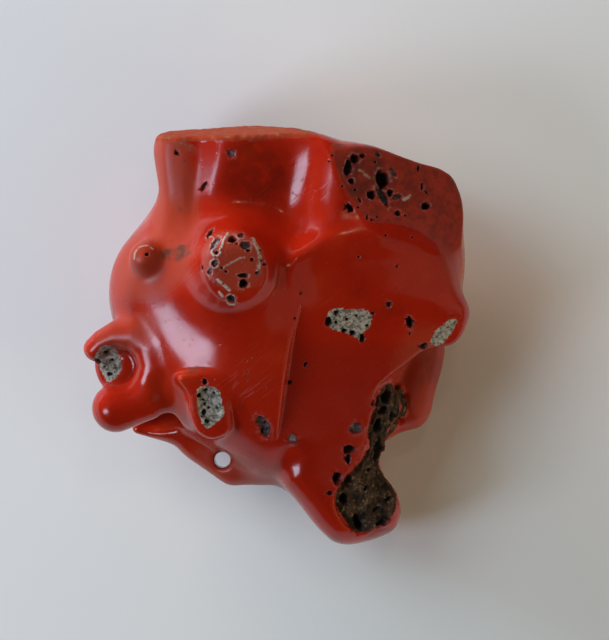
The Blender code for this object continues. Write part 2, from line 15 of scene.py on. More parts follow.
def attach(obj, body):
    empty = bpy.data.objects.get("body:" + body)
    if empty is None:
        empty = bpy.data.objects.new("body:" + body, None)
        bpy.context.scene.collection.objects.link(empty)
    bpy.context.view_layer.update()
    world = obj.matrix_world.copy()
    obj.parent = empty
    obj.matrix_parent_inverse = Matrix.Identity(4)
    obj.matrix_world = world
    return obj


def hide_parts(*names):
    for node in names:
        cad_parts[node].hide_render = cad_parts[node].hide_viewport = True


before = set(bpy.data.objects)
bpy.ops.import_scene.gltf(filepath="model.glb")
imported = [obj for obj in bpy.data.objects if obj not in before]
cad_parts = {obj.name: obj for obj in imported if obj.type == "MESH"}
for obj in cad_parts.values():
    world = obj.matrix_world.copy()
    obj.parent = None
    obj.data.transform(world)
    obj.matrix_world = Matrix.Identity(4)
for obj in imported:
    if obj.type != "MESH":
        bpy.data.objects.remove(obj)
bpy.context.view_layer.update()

bl_info = {
    "name": "Red Coral Branch",
    "version": (1, 0, 0),
    "blender": (4, 5, 0),
    "location": "3D View > Sidebar > Coral",
    "description": "Builds the polished coral branch base with its pores, crusts and studio",
    "category": "Add Mesh",
}

CAD_NODES = ("trunk", "neck", "shoulder", "left_fork", "web", "lower_leg", "heel")

MM = 0.001

# The skin: the steps of its squares and of the outlines' distance grids, then of its finest parts
FUSE_VOXEL = 0.62
PLAN_STEP = 0.25
PLAN_MARGIN = 14.0
PATCH_EDGE = 0.24
FINEST_EDGE = 0.13
WORM_EDGE = 0.15
CREASE_EDGE = 0.26
CREASE_ANGLE = 11.0
REFINE_ROUNDS = 3
LIMB_STEPS = 8

# How the skin is brought onto the forms: the step for slopes, the longest move, the least slope
SLOPE_STEP = 0.04
LONGEST_MOVE = 0.8
LEAST_SLOPE = 0.05
ROLL_SHARE = 0.85
ABOVE_ALL = 36.0
FALL_ROUNDS = 60
FALL_SHARE = 0.7
CORNER_ROUNDS = 2
SETTLE_ROUNDS = 10

# How strongly a ridge and a hollow bend, over a step across the surface
BEND_STEP = 1.1
RIDGE_BEND = 0.3
HOLLOW_BEND = 0.3

# The photograph's frame: its size, the width of a pixel at the coral, and where the frame's middle lies
PHOTO_WIDE = 609
PHOTO_HIGH = 640
PIXEL = 0.135 * MM
FOOT_MIDDLE_PIXEL = (275.0, 336.0)
FRAME_MIDDLE = (
    (PHOTO_WIDE / 2 - FOOT_MIDDLE_PIXEL[0]) * PIXEL,
    (FOOT_MIDDLE_PIXEL[1] - PHOTO_HIGH / 2) * PIXEL,
)
LOOK_HEIGHT = 0.018
SENSOR_WIDTH = 36.0

# The studio
FLOOR_SIDE = 4.0
ROOM_COLOUR = (1.0, 0.62, 0.36)
ROOM_STRENGTH = 0.04
# Each light: azimuth and elevation in degrees, distance, size, its power's setting and share of it, colour,
# whether the polish mirrors it
LIGHTS = (
    ("window", 198, 37, 0.5, (0.14, 0.2), "window_power", 1.0, (0.66, 0.78, 1.0), True),
    ("lamp", 75, 66, 0.65, (0.06, 0.06), "lamp_power", 1.0, (1.0, 0.75, 0.5), True),
    ("right_fill", 350, 38, 0.6, (0.6, 0.6), "fill_power", 1.0, (1.0, 0.78, 0.58), True),
    ("key", 152, 50, 0.5, (0.32, 0.26), "key_power", 1.0, (0.84, 0.96, 1.0), False),
    ("low_left", 150, 10, 0.5, (0.24, 0.18), "low_power", 1.0, (0.52, 0.8, 1.0), False),
    ("low_back", 120, 10, 0.5, (0.24, 0.18), "low_power", 0.72, (1.0, 0.72, 0.62), False),
    ("low_right", 330, 12, 0.5, (0.24, 0.18), "low_power", 0.42, (1.0, 0.95, 0.65), False),
)

# Lesser colours of the skin
DUST_PALE = (0.5, 0.27, 0.2)
WORN_RED = (0.3, 0.05, 0.025)
# Painted sheen: pink and orange that stand in for the pale floor and walls seen in the dull polish
SHEEN_PINK = (0.3, 0.06, 0.03)
SHEEN_ORANGE = (0.34, 0.04, 0.008)
SAWN_DARK = (0.19, 0.014, 0.006)
SAWN_WARM = (0.3, 0.05, 0.022)
CHIP_RED = (0.3, 0.035, 0.01)
CHIP_TAN = (0.24, 0.12, 0.065)
# The lime's hole colour and the pits' black are painted shade in holes
LIME_HOLE_SHADE = (0.02, 0.015, 0.012)
PIT_SHADE = (0.004, 0.002, 0.0015)
PIT_GREY = (0.075, 0.05, 0.055)
PIT_LILAC = (0.3, 0.235, 0.255)
RIM_PALE = (0.5, 0.36, 0.34)
WORM_BROWN = (0.2, 0.12, 0.075)
WORM_PALE = (0.47, 0.36, 0.32)

# Outlines seen from above
NECK_OUTLINE = (
    (-16.4, 25.1), (-15.9, 27.2), (-14.6, 27.9), (-9.6, 28.3), (-4.2, 28.8), (1.2, 28.5), (4.5, 27.6),
    (7.6, 26.4), (9.5, 23.8), (9.5, 16.3), (3.4, 13.0), (-10.1, 12.3), (-15.6, 14.0), (-15.5, 17.8),
    (-15.6, 20.0), (-16.1, 22.7),
)
SHOULDER_OUTLINE = (
    (6.1, 26.5), (12.4, 25.7), (18.8, 23.3), (21.9, 22.6), (23.9, 21.4), (25.1, 18.6), (25.4, 15.5),
    (24.8, 10.6), (24.1, 7.8), (23.6, 4.6), (22.0, 2.4), (8.8, 3.6), (3.4, 10.3), (4.7, 23.8),
)
LEDGE_OUTLINE = (
    (2.0, 7.6), (3.4, 11.6), (10.1, 13.6), (16.9, 13.0), (22.0, 9.6), (23.6, 6.0), (26.2, 3.5),
    (25.2, 0.2), (23.8, -1.3), (20.2, -1.6), (16.8, -4.2), (12.2, -7.7), (10.4, -10.7), (6.1, -14.0),
    (2.0, -14.0), (1.1, -8.6),
)
LEG_OUTLINE = (
    (3.0, -12.0), (0.4, -19.4), (2.8, -22.3), (5.9, -26.3), (7.9, -28.2), (10.0, -28.6), (13.4, -27.9),
    (16.4, -26.6), (17.3, -24.0), (16.5, -21.1), (14.6, -18.9), (14.1, -17.0), (14.8, -14.6),
    (15.5, -12.6), (17.2, -9.9), (16.3, -7.4), (12.0, -5.5), (7.4, -8.0),
)
HEEL_OUTLINE = (
    (10.0, -1.0), (17.0, 2.0), (22.7, 2.0), (23.4, -1.5), (22.8, -4.8), (21.9, -7.8), (21.3, -10.8),
    (20.0, -12.6), (17.4, -13.2), (14.9, -14.4), (13.0, -9.3), (11.0, -5.0),
)
WEB_OUTLINE = (
    (-20.2, -13.0), (-16.7, -14.0), (-13.8, -14.9), (-12.4, -16.4), (-8.9, -18.8), (-6.3, -20.6),
    (-3.1, -20.2), (0.1, -19.6), (2.4, -20.6), (5.0, -18.1), (3.4, -11.0), (-4.7, -8.7), (-11.5, -5.0),
    (-17.0, -7.3),
)
FRONT_KNOB_OUTLINE = (
    (-12.9, -5.0), (-9.5, -4.6), (-7.0, -5.3), (-6.3, -7.0), (-5.6, -12.0), (-6.6, -13.3), (-8.5, -13.9),
    (-10.4, -12.9), (-11.4, -10.6), (-11.7, -7.4), (-13.0, -6.0),
)
CRUST_OUTLINE = (
    (13.6, -8.4), (12.9, -11.0), (12.3, -13.2), (12.9, -15.2), (10.4, -18.1), (8.5, -20.0), (7.8, -22.1),
    (8.5, -24.0), (9.9, -25.9), (11.6, -27.0), (13.5, -26.1), (15.4, -25.4), (16.3, -23.6),
    (16.6, -21.4), (16.0, -19.0), (15.4, -17.2), (15.6, -14.6), (16.4, -12.6), (18.4, -9.8),
    (17.2, -6.9), (14.9, -6.2),
)

# Ground and broken faces, each through three places on it
SHOULDER_TOP = ((7.2, 22.2, 29.3), (14.9, 10.8, 27.2), (20.0, 22.2, 29.3))
SAWN_FACE = ((7.2, 26.5, 28.6), (14.9, 13.0, 27.0), (22.3, 21.1, 22.2))
GROUND_FACET = ((3.4, 5.0, 26.8), (1.1, -13.2, 22.4), (24.5, 3.0, 21.4))
LEDGE_TOP = ((3.4, 5.0, 27.9), (1.1, -13.2, 23.5), (24.5, 3.0, 22.5))
NECK_END = ((-15.0, 26.6, 24.0), (5.0, 27.2, 26.0), (-5.0, 28.6, 12.0))
KNOB_FACE = ((-9.0, -6.0, 26.6), (-6.0, -9.0, 26.0), (-9.0, -13.0, 24.8))
FACET_WALL = ((3.6, 5.3, 26.6), (0.3, -15.0, 21.8), (3.4, 5.35, 27.8))
FACET_RAMP = ((3.4, 5.5, 26.6), (24.0, 5.0, 21.5), (12.0, 9.5, 26.9))

# The neck's top from left to right, as distance across and height: at its broken end, then at its waist
NECK_BACK_Y = 27.0
NECK_BACK = (
    (-16.8, 21.6), (-14.9, 23.6), (-12.6, 24.2), (-10.2, 24.4), (-8.6, 25.1), (-6.8, 25.9), (-4.5, 26.2),
    (-0.5, 26.1), (2.2, 26.3), (4.4, 26.9), (6.4, 27.7), (8.5, 28.1), (11.0, 28.2),
)
NECK_FRONT_Y = 16.0
NECK_FRONT = (
    (-16.8, 20.6), (-14.6, 22.4), (-12.4, 23.2), (-11.0, 23.3), (-9.9, 23.8), (-8.4, 24.4), (-6.0, 24.6),
    (-2.0, 24.3), (1.5, 24.2), (4.0, 25.5), (6.3, 27.4), (7.8, 27.9), (11.0, 28.0),
)


class Ball:
    """An ellipsoid, turned about the vertical."""

    def __init__(self, centre, radii, turn=0.0):
        self.centre = np.array(centre, float)
        self.radii = np.array(radii, float)
        self.turn = math.radians(turn)

    def distance(self, points):
        away = points - self.centre
        cos, sin = math.cos(self.turn), math.sin(self.turn)
        own = np.stack(
            (cos * away[:, 0] + sin * away[:, 1], cos * away[:, 1] - sin * away[:, 0], away[:, 2]), axis=1
        )
        inner = np.linalg.norm(own / self.radii, axis=1)
        outer = np.linalg.norm(own / self.radii**2, axis=1)
        return inner * (inner - 1.0) / np.maximum(outer, 1e-6)

    def add_to(self, bm):
        made = bmesh.ops.create_icosphere(bm, subdivisions=4, radius=1.0)["verts"]
        cos, sin = math.cos(self.turn), math.sin(self.turn)
        for vert in made:
            x, y, z = Vector(vert.co) * Vector(self.radii)
            vert.co = Vector((cos * x - sin * y, sin * x + cos * y, z)) + Vector(self.centre)


class Limb:
    """A round branch through a few places, each with its own radius."""

    def __init__(self, *stations):
        self.places = np.array([place for place, _ in stations], float)
        self.radii = np.array([radius for _, radius in stations], float)

    def distance(self, points):
        nearest = np.full(len(points), np.inf)
        for k in range(len(self.places) - 1):
            start, along = self.places[k], self.places[k + 1] - self.places[k]
            share = np.clip((points - start) @ along / (along @ along), 0.0, 1.0)
            radius = self.radii[k] + share * (self.radii[k + 1] - self.radii[k])
            away = np.linalg.norm(points - start - share[:, None] * along, axis=1)
            nearest = np.minimum(nearest, away - radius)
        return nearest

    def add_to(self, bm):
        for k in range(len(self.places) - 1):
            for share in np.linspace(0.0, 1.0, LIMB_STEPS):
                centre = self.places[k] + share * (self.places[k + 1] - self.places[k])
                radius = self.radii[k] + share * (self.radii[k + 1] - self.radii[k])
                Ball(centre, (radius, radius, radius)).add_to(bm)


class Pebble:
    """A rounded slab with an outline seen from above, between two heights, its top sloped by a face."""

    def __init__(self, outline, low, high, edge, top=None):
        self.corners = rounded_outline(outline)
        self.low = low
        self.high = high
        self.edge = edge
        self.top = top
        self.low_corner = self.corners.min(axis=0) - PLAN_MARGIN
        self.plan = plan_distances(self.corners, self.low_corner)

    def distance(self, points):
        across = grid_value(self.plan, (points[:, :2] - self.low_corner) / PLAN_STEP) + self.edge
        over = points[:, 2] - self.high if self.top is None else plane(points, self.top)
        upright = np.maximum(over, self.low - points[:, 2]) + self.edge
        outside = np.hypot(np.maximum(across, 0.0), np.maximum(upright, 0.0))
        return outside + np.minimum(np.maximum(across, upright), 0.0) - self.edge

    def add_to(self, bm):
        verts = [bm.verts.new((x, y, self.low)) for x, y in self.corners]
        base = bm.faces.new(verts)
        raised = bmesh.ops.extrude_face_region(bm, geom=[base])["geom"]
        tops = [item for item in raised if isinstance(item, bmesh.types.BMVert)]
        bmesh.ops.translate(bm, verts=tops, vec=(0.0, 0.0, self.high - self.low))


class Relief:
    """A rolling top: heights at stations across it, which drift from its back row to its front row."""

    def __init__(self, back_y, back, front_y, front):
        self.back_y = back_y
        self.front_y = front_y
        self.back = np.array(back, float)
        self.front = np.array(front, float)

    def above(self, points):
        share = eased((self.back_y - points[:, 1]) / (self.back_y - self.front_y))[:, None]
        across = self.back[:, 0] + share * (self.front[:, 0] - self.back[:, 0])
        heights = self.back[:, 1] + share * (self.front[:, 1] - self.back[:, 1])
        rise, span = np.diff(heights), np.diff(across)
        slopes = np.zeros(heights.shape)
        slopes[:, 1:-1] = (rise[:, 1:] + rise[:, :-1]) / (span[:, 1:] + span[:, :-1])
        height = heights[:, 0].copy()
        for k in range(span.shape[1]):
            part = np.clip((points[:, 0] - across[:, k]) / span[:, k], 0.0, 1.0)
            start, end = slopes[:, k] * span[:, k], slopes[:, k + 1] * span[:, k]
            bow = 3 * rise[:, k] - 2 * start - end + part * (start + end - 2 * rise[:, k])
            height = np.where(part > 0.0, heights[:, k] + part * start + part**2 * bow, height)
        return (points[:, 2] - height) * ROLL_SHARE


def eased(share):
    """The share from nought to one, with a soft start and end."""
    share = np.clip(share, 0.0, 1.0)
    return share * share * (3.0 - 2.0 * share)


def rounded_outline(outline):
    """The outline with its corners cut, and the new corners cut again."""
    corners = np.array(outline, float)
    for _ in range(CORNER_ROUNDS):
        ahead = np.roll(corners, -1, axis=0)
        cut = (0.8 * corners + 0.2 * ahead, 0.2 * corners + 0.8 * ahead)
        corners = np.stack(cut, axis=1).reshape(-1, 2)
    return corners


def plan_distances(corners, low_corner):
    """Signed distance to a closed outline on a square grid, negative inside."""
    span = corners.max(axis=0) + PLAN_MARGIN - low_corner
    counts = np.ceil(span / PLAN_STEP).astype(int) + 1
    xs, ys = (low_corner[k] + PLAN_STEP * np.arange(counts[k]) for k in (0, 1))
    grid = np.stack(np.meshgrid(xs, ys, indexing="ij"), axis=-1)
    nearest = np.full(grid.shape[:2], np.inf)
    inside = np.zeros(grid.shape[:2], bool)
    for start, end in zip(corners, np.roll(corners, -1, axis=0)):
        along = end - start
        away = grid - start
        share = np.clip(away @ along / (along @ along), 0.0, 1.0)
        nearest = np.minimum(nearest, np.linalg.norm(away - share[..., None] * along, axis=-1))
        crosses = (start[1] > grid[..., 1]) != (end[1] > grid[..., 1])
        height = along[1] if abs(along[1]) > 1e-9 else 1e-9
        inside ^= crosses & (away[..., 0] < away[..., 1] * along[0] / height)
    return np.where(inside, -nearest, nearest)


def grid_value(grid, place):
    """The grid read between its points."""
    place = np.clip(place, 0.0, np.array(grid.shape) - 1.001)
    cell = place.astype(int)
    fx, fy = (place - cell).T
    i, j = cell.T
    near = grid[i, j] * (1 - fy) + grid[i, j + 1] * fy
    far = grid[i + 1, j] * (1 - fy) + grid[i + 1, j + 1] * fy
    return near * (1 - fx) + far * fx


def plane(points, face):
    """Signed distance above the plane through three places, positive towards the viewer above."""
    a, b, c = (np.array(place, float) for place in face)
    normal = np.cross(b - a, c - a)
    normal /= np.linalg.norm(normal)
    if normal[2] < 0:
        normal = -normal
    return (points - a) @ normal


def blend(first, second, soft):
    """Union of two fields with a fillet about as wide as soft."""
    overlap = np.maximum(soft - np.abs(first - second), 0.0) / soft
    return np.minimum(first, second) - overlap**2 * soft / 4


def carve(field, tool, soft):
    """The field with the tool's inside taken away, its edge eased by soft."""
    return -blend(-field, tool, soft)


# The coral's forms
CORE = Ball((1.0, 1.0, 13.0), (17.0, 14.0, 13.0))
FOOT = Ball((0.0, 0.0, 1.0), (14.5, 13.5, 9.0))
DOME = Ball((-1.6, -0.6, 14.0), (18.0, 15.2, 14.1))
LEFT_SHOULDER = Ball((-11.0, 5.8, 14.2), (11.6, 11.6, 11.4))
RIDGE = Ball((12.6, 8.5, 13.0), (12.0, 10.5, 13.4), -6.0)
FRONT_SLOPE = Ball((-0.8, -8.0, 10.5), (7.6, 12.0, 12.6))
LEDGE = Pebble(LEDGE_OUTLINE, 12.5, 28.0, 1.4, LEDGE_TOP)
NECK = Pebble(NECK_OUTLINE, 6.0, 31.0, 2.5)
NECK_TOP = Relief(NECK_BACK_Y, NECK_BACK, NECK_FRONT_Y, NECK_FRONT)
SHOULDER = Pebble(SHOULDER_OUTLINE, 5.0, 28.6, 5.5, SHOULDER_TOP)
UPPER_PRONG = Limb(
    ((-24.1, -1.7, 18.6), 1.75), ((-23.1, -0.8, 19.2), 1.8), ((-21.0, 0.1, 19.8), 2.1),
    ((-18.6, 0.2, 20.4), 2.4), ((-16.8, -1.4, 20.6), 2.4), ((-16.2, -4.0, 20.4), 2.3),
    ((-17.2, -7.0, 19.6), 2.3),
)
LOWER_PRONG = Limb(((-21.4, -9.7, 18.4), 3.3), ((-17.2, -8.6, 19.0), 2.8), ((-12.8, -6.4, 18.4), 2.4))
FORK_FILL = Ball((-20.2, -3.8, 17.0), (4.2, 4.4, 2.1))
LEG = Pebble(LEG_OUTLINE, 3.0, 26.0, 4.5, GROUND_FACET)
HEEL = Pebble(HEEL_OUTLINE, 2.0, 11.0, 3.8)
WEB = Pebble(WEB_OUTLINE, 6.5, 13.5, 2.4)
FRONT_KNOB = Pebble(FRONT_KNOB_OUTLINE, 17.0, 30.0, 1.3)
TOP_KNOB = Ball((-5.3, 9.1, 29.2), (5.0, 5.3, 6.0))
TOP_KNOB_FACE = ((-5.0, 9.0, 33.4), (0.0, 9.0, 32.7), (-5.0, 4.0, 32.5))
TOP_KNOB_ROOT = Ball((-4.8, 8.0, 25.0), (6.8, 6.8, 6.0))
SMALL_KNOB = Ball((-17.3, 10.5, 23.2), (2.2, 2.2, 2.4))

# What is worn, bored or broken away
FORK_MOUTH = Ball((-22.1, -3.9, 21.7), (2.2, 2.7, 3.2), -20.0)
HOLE_X = -7.2
HOLE_Y = -16.9
HOLE_RADIUS = 1.1
WEB_HOLE = Limb(((HOLE_X, HOLE_Y, 0.0), HOLE_RADIUS), ((HOLE_X, HOLE_Y, 24.0), HOLE_RADIUS))
WEB_HOLLOW = Ball((-15.6, -10.9, 15.0), (5.6, 2.3, 3.6), 22.0)
CRUST = Pebble(CRUST_OUTLINE, 0.0, 40.0, 0.8)
CRUST_DEPTH = 1.1
KNOB_CORE = Ball((-8.8, -9.4, 25.9), (1.5, 2.7, 1.0), 6.0)

TRUNK_FORMS = (
    (CORE, 0.0), (FOOT, 4.0), (DOME, 3.0), (LEFT_SHOULDER, 3.0), (RIDGE, 3.0), (FRONT_SLOPE, 4.0),
    (LEDGE, 1.5), (LEG, 2.0),
)


def facet_region(points):
    """What is ground away over the broad front facet, above its plane and right of its wall."""
    above = -plane(points, GROUND_FACET)
    behind = -plane(points, FACET_RAMP)
    right = wall_distance(points)
    return np.maximum(-blend(-above, -behind, 5.0), right)


def wall_distance(points):
    """Distance from the facet's wall, negative on the facet's side."""
    a, b, c = (np.array(place, float) for place in FACET_WALL)
    normal = np.cross(b - a, c - a)
    normal /= np.linalg.norm(normal)
    return (points - a) @ (normal if normal[0] < 0 else -normal)


def trunk(points):
    field = CORE.distance(points)
    for form, soft in TRUNK_FORMS[1:]:
        field = blend(field, form.distance(points), soft)
    crisp = 0.35 + 2.4 * eased((points[:, 1] - 4.5) / 4.0)
    field = carve(field, facet_region(points), crisp)
    return carve(field, crust_hollow(points), 0.5)


def crust_hollow(points):
    """The broken hollow of the lower leg, down to its brown crust."""
    return np.maximum(CRUST.distance(points), -plane(points, GROUND_FACET) - CRUST_DEPTH)


def upper_branches(points):
    field = carve(NECK.distance(points), -NECK_TOP.above(points), 2.0)
    field = carve(field, -plane(points, NECK_END), 0.5)
    field = blend(field, SHOULDER.distance(points), 1.2)
    crisp = 0.3 + 3.5 * eased((12.5 - points[:, 1]) / 3.0)
    return carve(field, -plane(points, SAWN_FACE), crisp)


def top_knob(points):
    return carve(TOP_KNOB.distance(points), -plane(points, TOP_KNOB_FACE), 1.2)


def left_fork(points):
    field = blend(UPPER_PRONG.distance(points), LOWER_PRONG.distance(points), 1.2)
    return blend(field, FORK_FILL.distance(points), 0.8)


def front_knob(points):
    field = carve(FRONT_KNOB.distance(points), -plane(points, KNOB_FACE), 0.9)
    return carve(field, KNOB_CORE.distance(points), 0.4)


# How the rest joins the trunk and the upper branches, in order, each with the softness of its join
UPPER_SOFT = 5.0
JOINS = (
    (blend, TOP_KNOB_ROOT.distance, 5.0), (blend, top_knob, 2.0), (blend, SMALL_KNOB.distance, 1.8),
    (blend, left_fork, 1.4), (blend, HEEL.distance, 1.6), (blend, WEB.distance, 2.0),
    (carve, WEB_HOLLOW.distance, 1.2), (blend, front_knob, 0.9), (carve, FORK_MOUTH.distance, 0.8),
    (carve, WEB_HOLE.distance, 0.8),
)


def coral(points):
    """The whole coral's field, in millimetres: negative inside."""
    field = blend(trunk(points), upper_branches(points), UPPER_SOFT)
    for join, form, soft in JOINS:
        field = join(field, form(points), soft)
    return field


SOLID_FORMS = (
    CORE, FOOT, DOME, LEFT_SHOULDER, RIDGE, FRONT_SLOPE, LEDGE, NECK, SHOULDER, UPPER_PRONG, LOWER_PRONG,
    FORK_FILL, LEG, HEEL, WEB, FRONT_KNOB, TOP_KNOB, TOP_KNOB_ROOT, SMALL_KNOB,
)


def new_object(name, mesh):
    made = bpy.data.objects.new(name, mesh)
    bpy.context.scene.collection.objects.link(made)
    return made


def evaluated_mesh(source):
    """A copy of the object's mesh with its modifiers applied."""
    bpy.context.view_layer.update()
    graph = bpy.context.evaluated_depsgraph_get()
    return bpy.data.meshes.new_from_object(source.evaluated_get(graph))


def start_bodies():
    """The forms' plain bodies, overlapping."""
    bm = bmesh.new()
    for form in SOLID_FORMS:
        form.add_to(bm)
    bmesh.ops.recalc_face_normals(bm, faces=bm.faces)
    mesh = bpy.data.meshes.new("start_bodies")
    bm.to_mesh(mesh)
    bm.free()
    return mesh


def web_drill():
    bore = bmesh.new()
    bmesh.ops.create_cone(
        bore, cap_ends=True, segments=16, radius1=HOLE_RADIUS, radius2=HOLE_RADIUS, depth=60.0,
        matrix=Matrix.Translation((HOLE_X, HOLE_Y, 12.0)),
    )
    mesh = bpy.data.meshes.new("web_drill")
    bore.to_mesh(mesh)
    bore.free()
    return new_object("web_drill", mesh)


def even_skin(mesh, voxel, drill=None):
    """One closed skin of even squares round whatever the mesh encloses, bored where a drill is given."""
    rough = new_object("rough_coral", mesh)
    fuse = rough.modifiers.new("Fuse", "REMESH")
    fuse.mode = "VOXEL"
    fuse.voxel_size = voxel
    if drill is not None:
        bored = rough.modifiers.new("Bore", "BOOLEAN")
        bored.operation = "DIFFERENCE"
        bored.solver = "EXACT"
        bored.object = drill
    skin = evaluated_mesh(rough)
    bpy.data.objects.remove(rough)
    return skin


def mesh_places(mesh):
    places = np.empty(len(mesh.vertices) * 3)
    mesh.vertices.foreach_get("co", places)
    return places.reshape(-1, 3)


def slope_of(field, places):
    """The field's value and gradient, from four places round each point."""
    corners = np.array(((1, 1, 1), (1, -1, -1), (-1, 1, -1), (-1, -1, 1)), float)
    values = np.stack([field(places + SLOPE_STEP * corner) for corner in corners])
    return values.mean(axis=0), (values.T @ corners) / (4 * SLOPE_STEP)


def bend_of(field, places):
    """How strongly the surface bends at each place: above nought on ridges, below it in hollows."""
    steps = BEND_STEP * np.concatenate((np.eye(3), -np.eye(3)))
    return np.mean([field(places + step) for step in steps], axis=0) - field(places)


def settle(mesh, field, rounds, ease=0.5):
    """Moves the mesh's points onto the field's surface, spreading them evenly along it between moves."""
    places = mesh_places(mesh)
    count = len(places)
    ends = np.empty(len(mesh.edges) * 2, np.int64)
    mesh.edges.foreach_get("vertices", ends)
    ends = ends.reshape(-1, 2)
    both = np.concatenate((ends, ends[:, ::-1]))
    links = np.maximum(np.bincount(both[:, 0], minlength=count), 1)
    for turn in range(rounds):
        value, slope = slope_of(field, places)
        steep = np.maximum((slope**2).sum(axis=1), LEAST_SLOPE)
        move = np.clip(value / steep, -LONGEST_MOVE, LONGEST_MOVE)
        places -= move[:, None] * slope
        if turn >= rounds - 2:
            continue
        sums = [np.bincount(both[:, 0], places[both[:, 1], k], count) for k in range(3)]
        middle = np.stack(sums, axis=1)
        pull = middle / links[:, None] - places
        normal = slope / np.sqrt(steep)[:, None]
        places += ease * (pull - (pull * normal).sum(axis=1)[:, None] * normal)
    mesh.vertices.foreach_set("co", places.ravel())
    mesh.update()


def saw_flat(mesh):
    """Saws the mesh flat at height zero, as the branch was cut from the rock."""
    bm = bmesh.new()
    bm.from_mesh(mesh)
    geometry = bm.verts[:] + bm.edges[:] + bm.faces[:]
    cut = bmesh.ops.bisect_plane(
        bm, geom=geometry, dist=1e-4, plane_co=(0, 0, 0), plane_no=(0, 0, 1), clear_inner=True
    )
    rim = [item for item in cut["geom_cut"] if isinstance(item, bmesh.types.BMEdge)]
    bmesh.ops.contextual_create(bm, geom=rim)
    bmesh.ops.recalc_face_normals(bm, faces=bm.faces)
    bm.to_mesh(mesh)
    bm.free()


def grown_coral(voxel):
    """The coral's whole skin in millimetres, with points about one voxel apart."""
    drill = web_drill()
    mesh = even_skin(start_bodies(), voxel, drill)
    bpy.data.objects.remove(drill)
    mesh = even_skin(mesh, voxel)
    settle(mesh, coral, SETTLE_ROUNDS)
    mesh = even_skin(mesh, voxel)
    settle(mesh, coral, SETTLE_ROUNDS)
    return mesh


def top_of_coral(places):
    """How high the coral's surface stands over places in the plan, found from above."""
    points = np.column_stack((places, np.full(len(places), ABOVE_ALL)))
    for _ in range(FALL_ROUNDS):
        points[:, 2] -= np.clip(coral(points), -0.3, LONGEST_MOVE) * FALL_SHARE
    return points[:, 2]


# Bored pores: place seen from above, length, width, turn in degrees, depth, paleness of the bottom
KNOB_PORES = (
    (-8.6, 13.6, 1.4, 0.55, 60, 0.6, 0.1), (-5.5, 12.8, 1.1, 0.9, 10, 1.1, 0.0),
    (-4.4, 13.3, 0.8, 0.6, 20, 0.3, 0.3), (-7.8, 12.2, 1.9, 0.7, 55, 0.4, 0.9),
    (-3.8, 12.0, 1.35, 0.95, -10, 0.6, 0.5), (-7.6, 11.0, 0.55, 0.4, 70, 0.5, 0.0),
    (-7.8, 9.6, 0.9, 0.75, 60, 0.5, 0.8), (-8.5, 8.5, 0.75, 0.6, 60, 0.4, 0.8),
    (-9.5, 9.0, 0.7, 0.3, -80, 0.5, 0.0), (-6.3, 8.5, 0.4, 0.35, 0, 0.6, 0.0),
    (-4.9, 12.2, 0.3, 0.25, 0, 0.4, 0.0), (-3.4, 11.3, 0.6, 0.35, 0, 0.7, 0.0),
    (-2.9, 10.1, 0.5, 0.45, 0, 0.8, 0.0), (-1.9, 11.3, 0.4, 0.3, 90, 0.5, 0.0),
    (-1.3, 9.5, 0.4, 0.4, 0, 0.4, 0.0), (-2.2, 8.4, 0.6, 0.4, 20, 0.6, 0.1),
    (-4.1, 8.0, 1.35, 0.55, 0, 0.7, 0.1), (-4.0, 6.9, 1.1, 1.1, 0, 1.3, 0.0),
    (-5.7, 4.9, 1.2, 0.95, -30, 0.7, 0.3), (-6.9, 9.0, 0.4, 0.3, 0, 0.4, 0.0),
    (-1.8, 10.0, 0.3, 0.3, 0, 0.4, 0.0),
)
SAWN_PORES = (
    (10.7, 23.6, 1.2, 1.1, -60, 1.2, 0.0), (9.8, 22.4, 2.15, 1.0, 80, 1.1, 0.1),
    (10.2, 20.6, 0.8, 0.7, 0, 0.8, 0.0), (11.7, 24.0, 0.7, 0.55, 0, 0.6, 0.0),
    (13.7, 24.2, 0.8, 0.45, -30, 0.4, 0.5), (14.4, 20.9, 2.3, 1.7, -80, 1.6, 0.0),
    (14.4, 18.6, 2.7, 0.95, -60, 0.8, 0.45), (12.9, 18.8, 1.15, 1.1, 0, 1.0, 0.0),
    (15.4, 19.1, 0.95, 0.75, 90, 0.8, 0.0), (16.3, 18.6, 1.2, 0.7, 15, 0.5, 0.8),
    (15.8, 21.9, 1.35, 0.5, -50, 0.5, 0.8), (16.4, 16.4, 0.75, 0.7, 0, 0.7, 0.0),
    (20.2, 17.4, 1.1, 0.95, 0, 1.0, 0.0), (19.7, 20.0, 0.95, 0.35, 90, 0.5, 0.1),
    (20.3, 19.2, 0.8, 0.25, -50, 0.4, 0.1), (19.2, 22.4, 0.8, 0.35, 80, 0.4, 0.1),
    (10.0, 17.0, 1.2, 0.75, -60, 0.9, 0.0), (11.3, 18.1, 0.95, 0.3, -60, 0.5, 0.0),
    (10.7, 19.4, 0.4, 0.35, 0, 0.4, 0.0), (12.3, 15.8, 0.7, 0.3, 90, 0.6, 0.0),
    (12.9, 15.5, 0.4, 0.3, 90, 0.4, 0.0), (17.4, 16.1, 0.35, 0.3, 0, 0.3, 0.0),
    (9.0, 19.9, 0.35, 0.3, 0, 0.3, 0.0), (14.8, 13.4, 0.35, 0.3, 0, 0.3, 0.0),
    (18.3, 13.2, 0.35, 0.35, 0, 0.3, 0.0), (13.6, 15.8, 0.3, 0.3, 0, 0.3, 0.0),
    (11.1, 17.1, 0.35, 0.3, 0, 0.3, 0.0), (7.7, 24.0, 0.35, 0.3, 0, 0.3, 0.0),
    (7.2, 23.2, 0.3, 0.3, 0, 0.3, 0.0), (13.4, 23.2, 0.4, 0.3, 0, 0.3, 0.0),
)
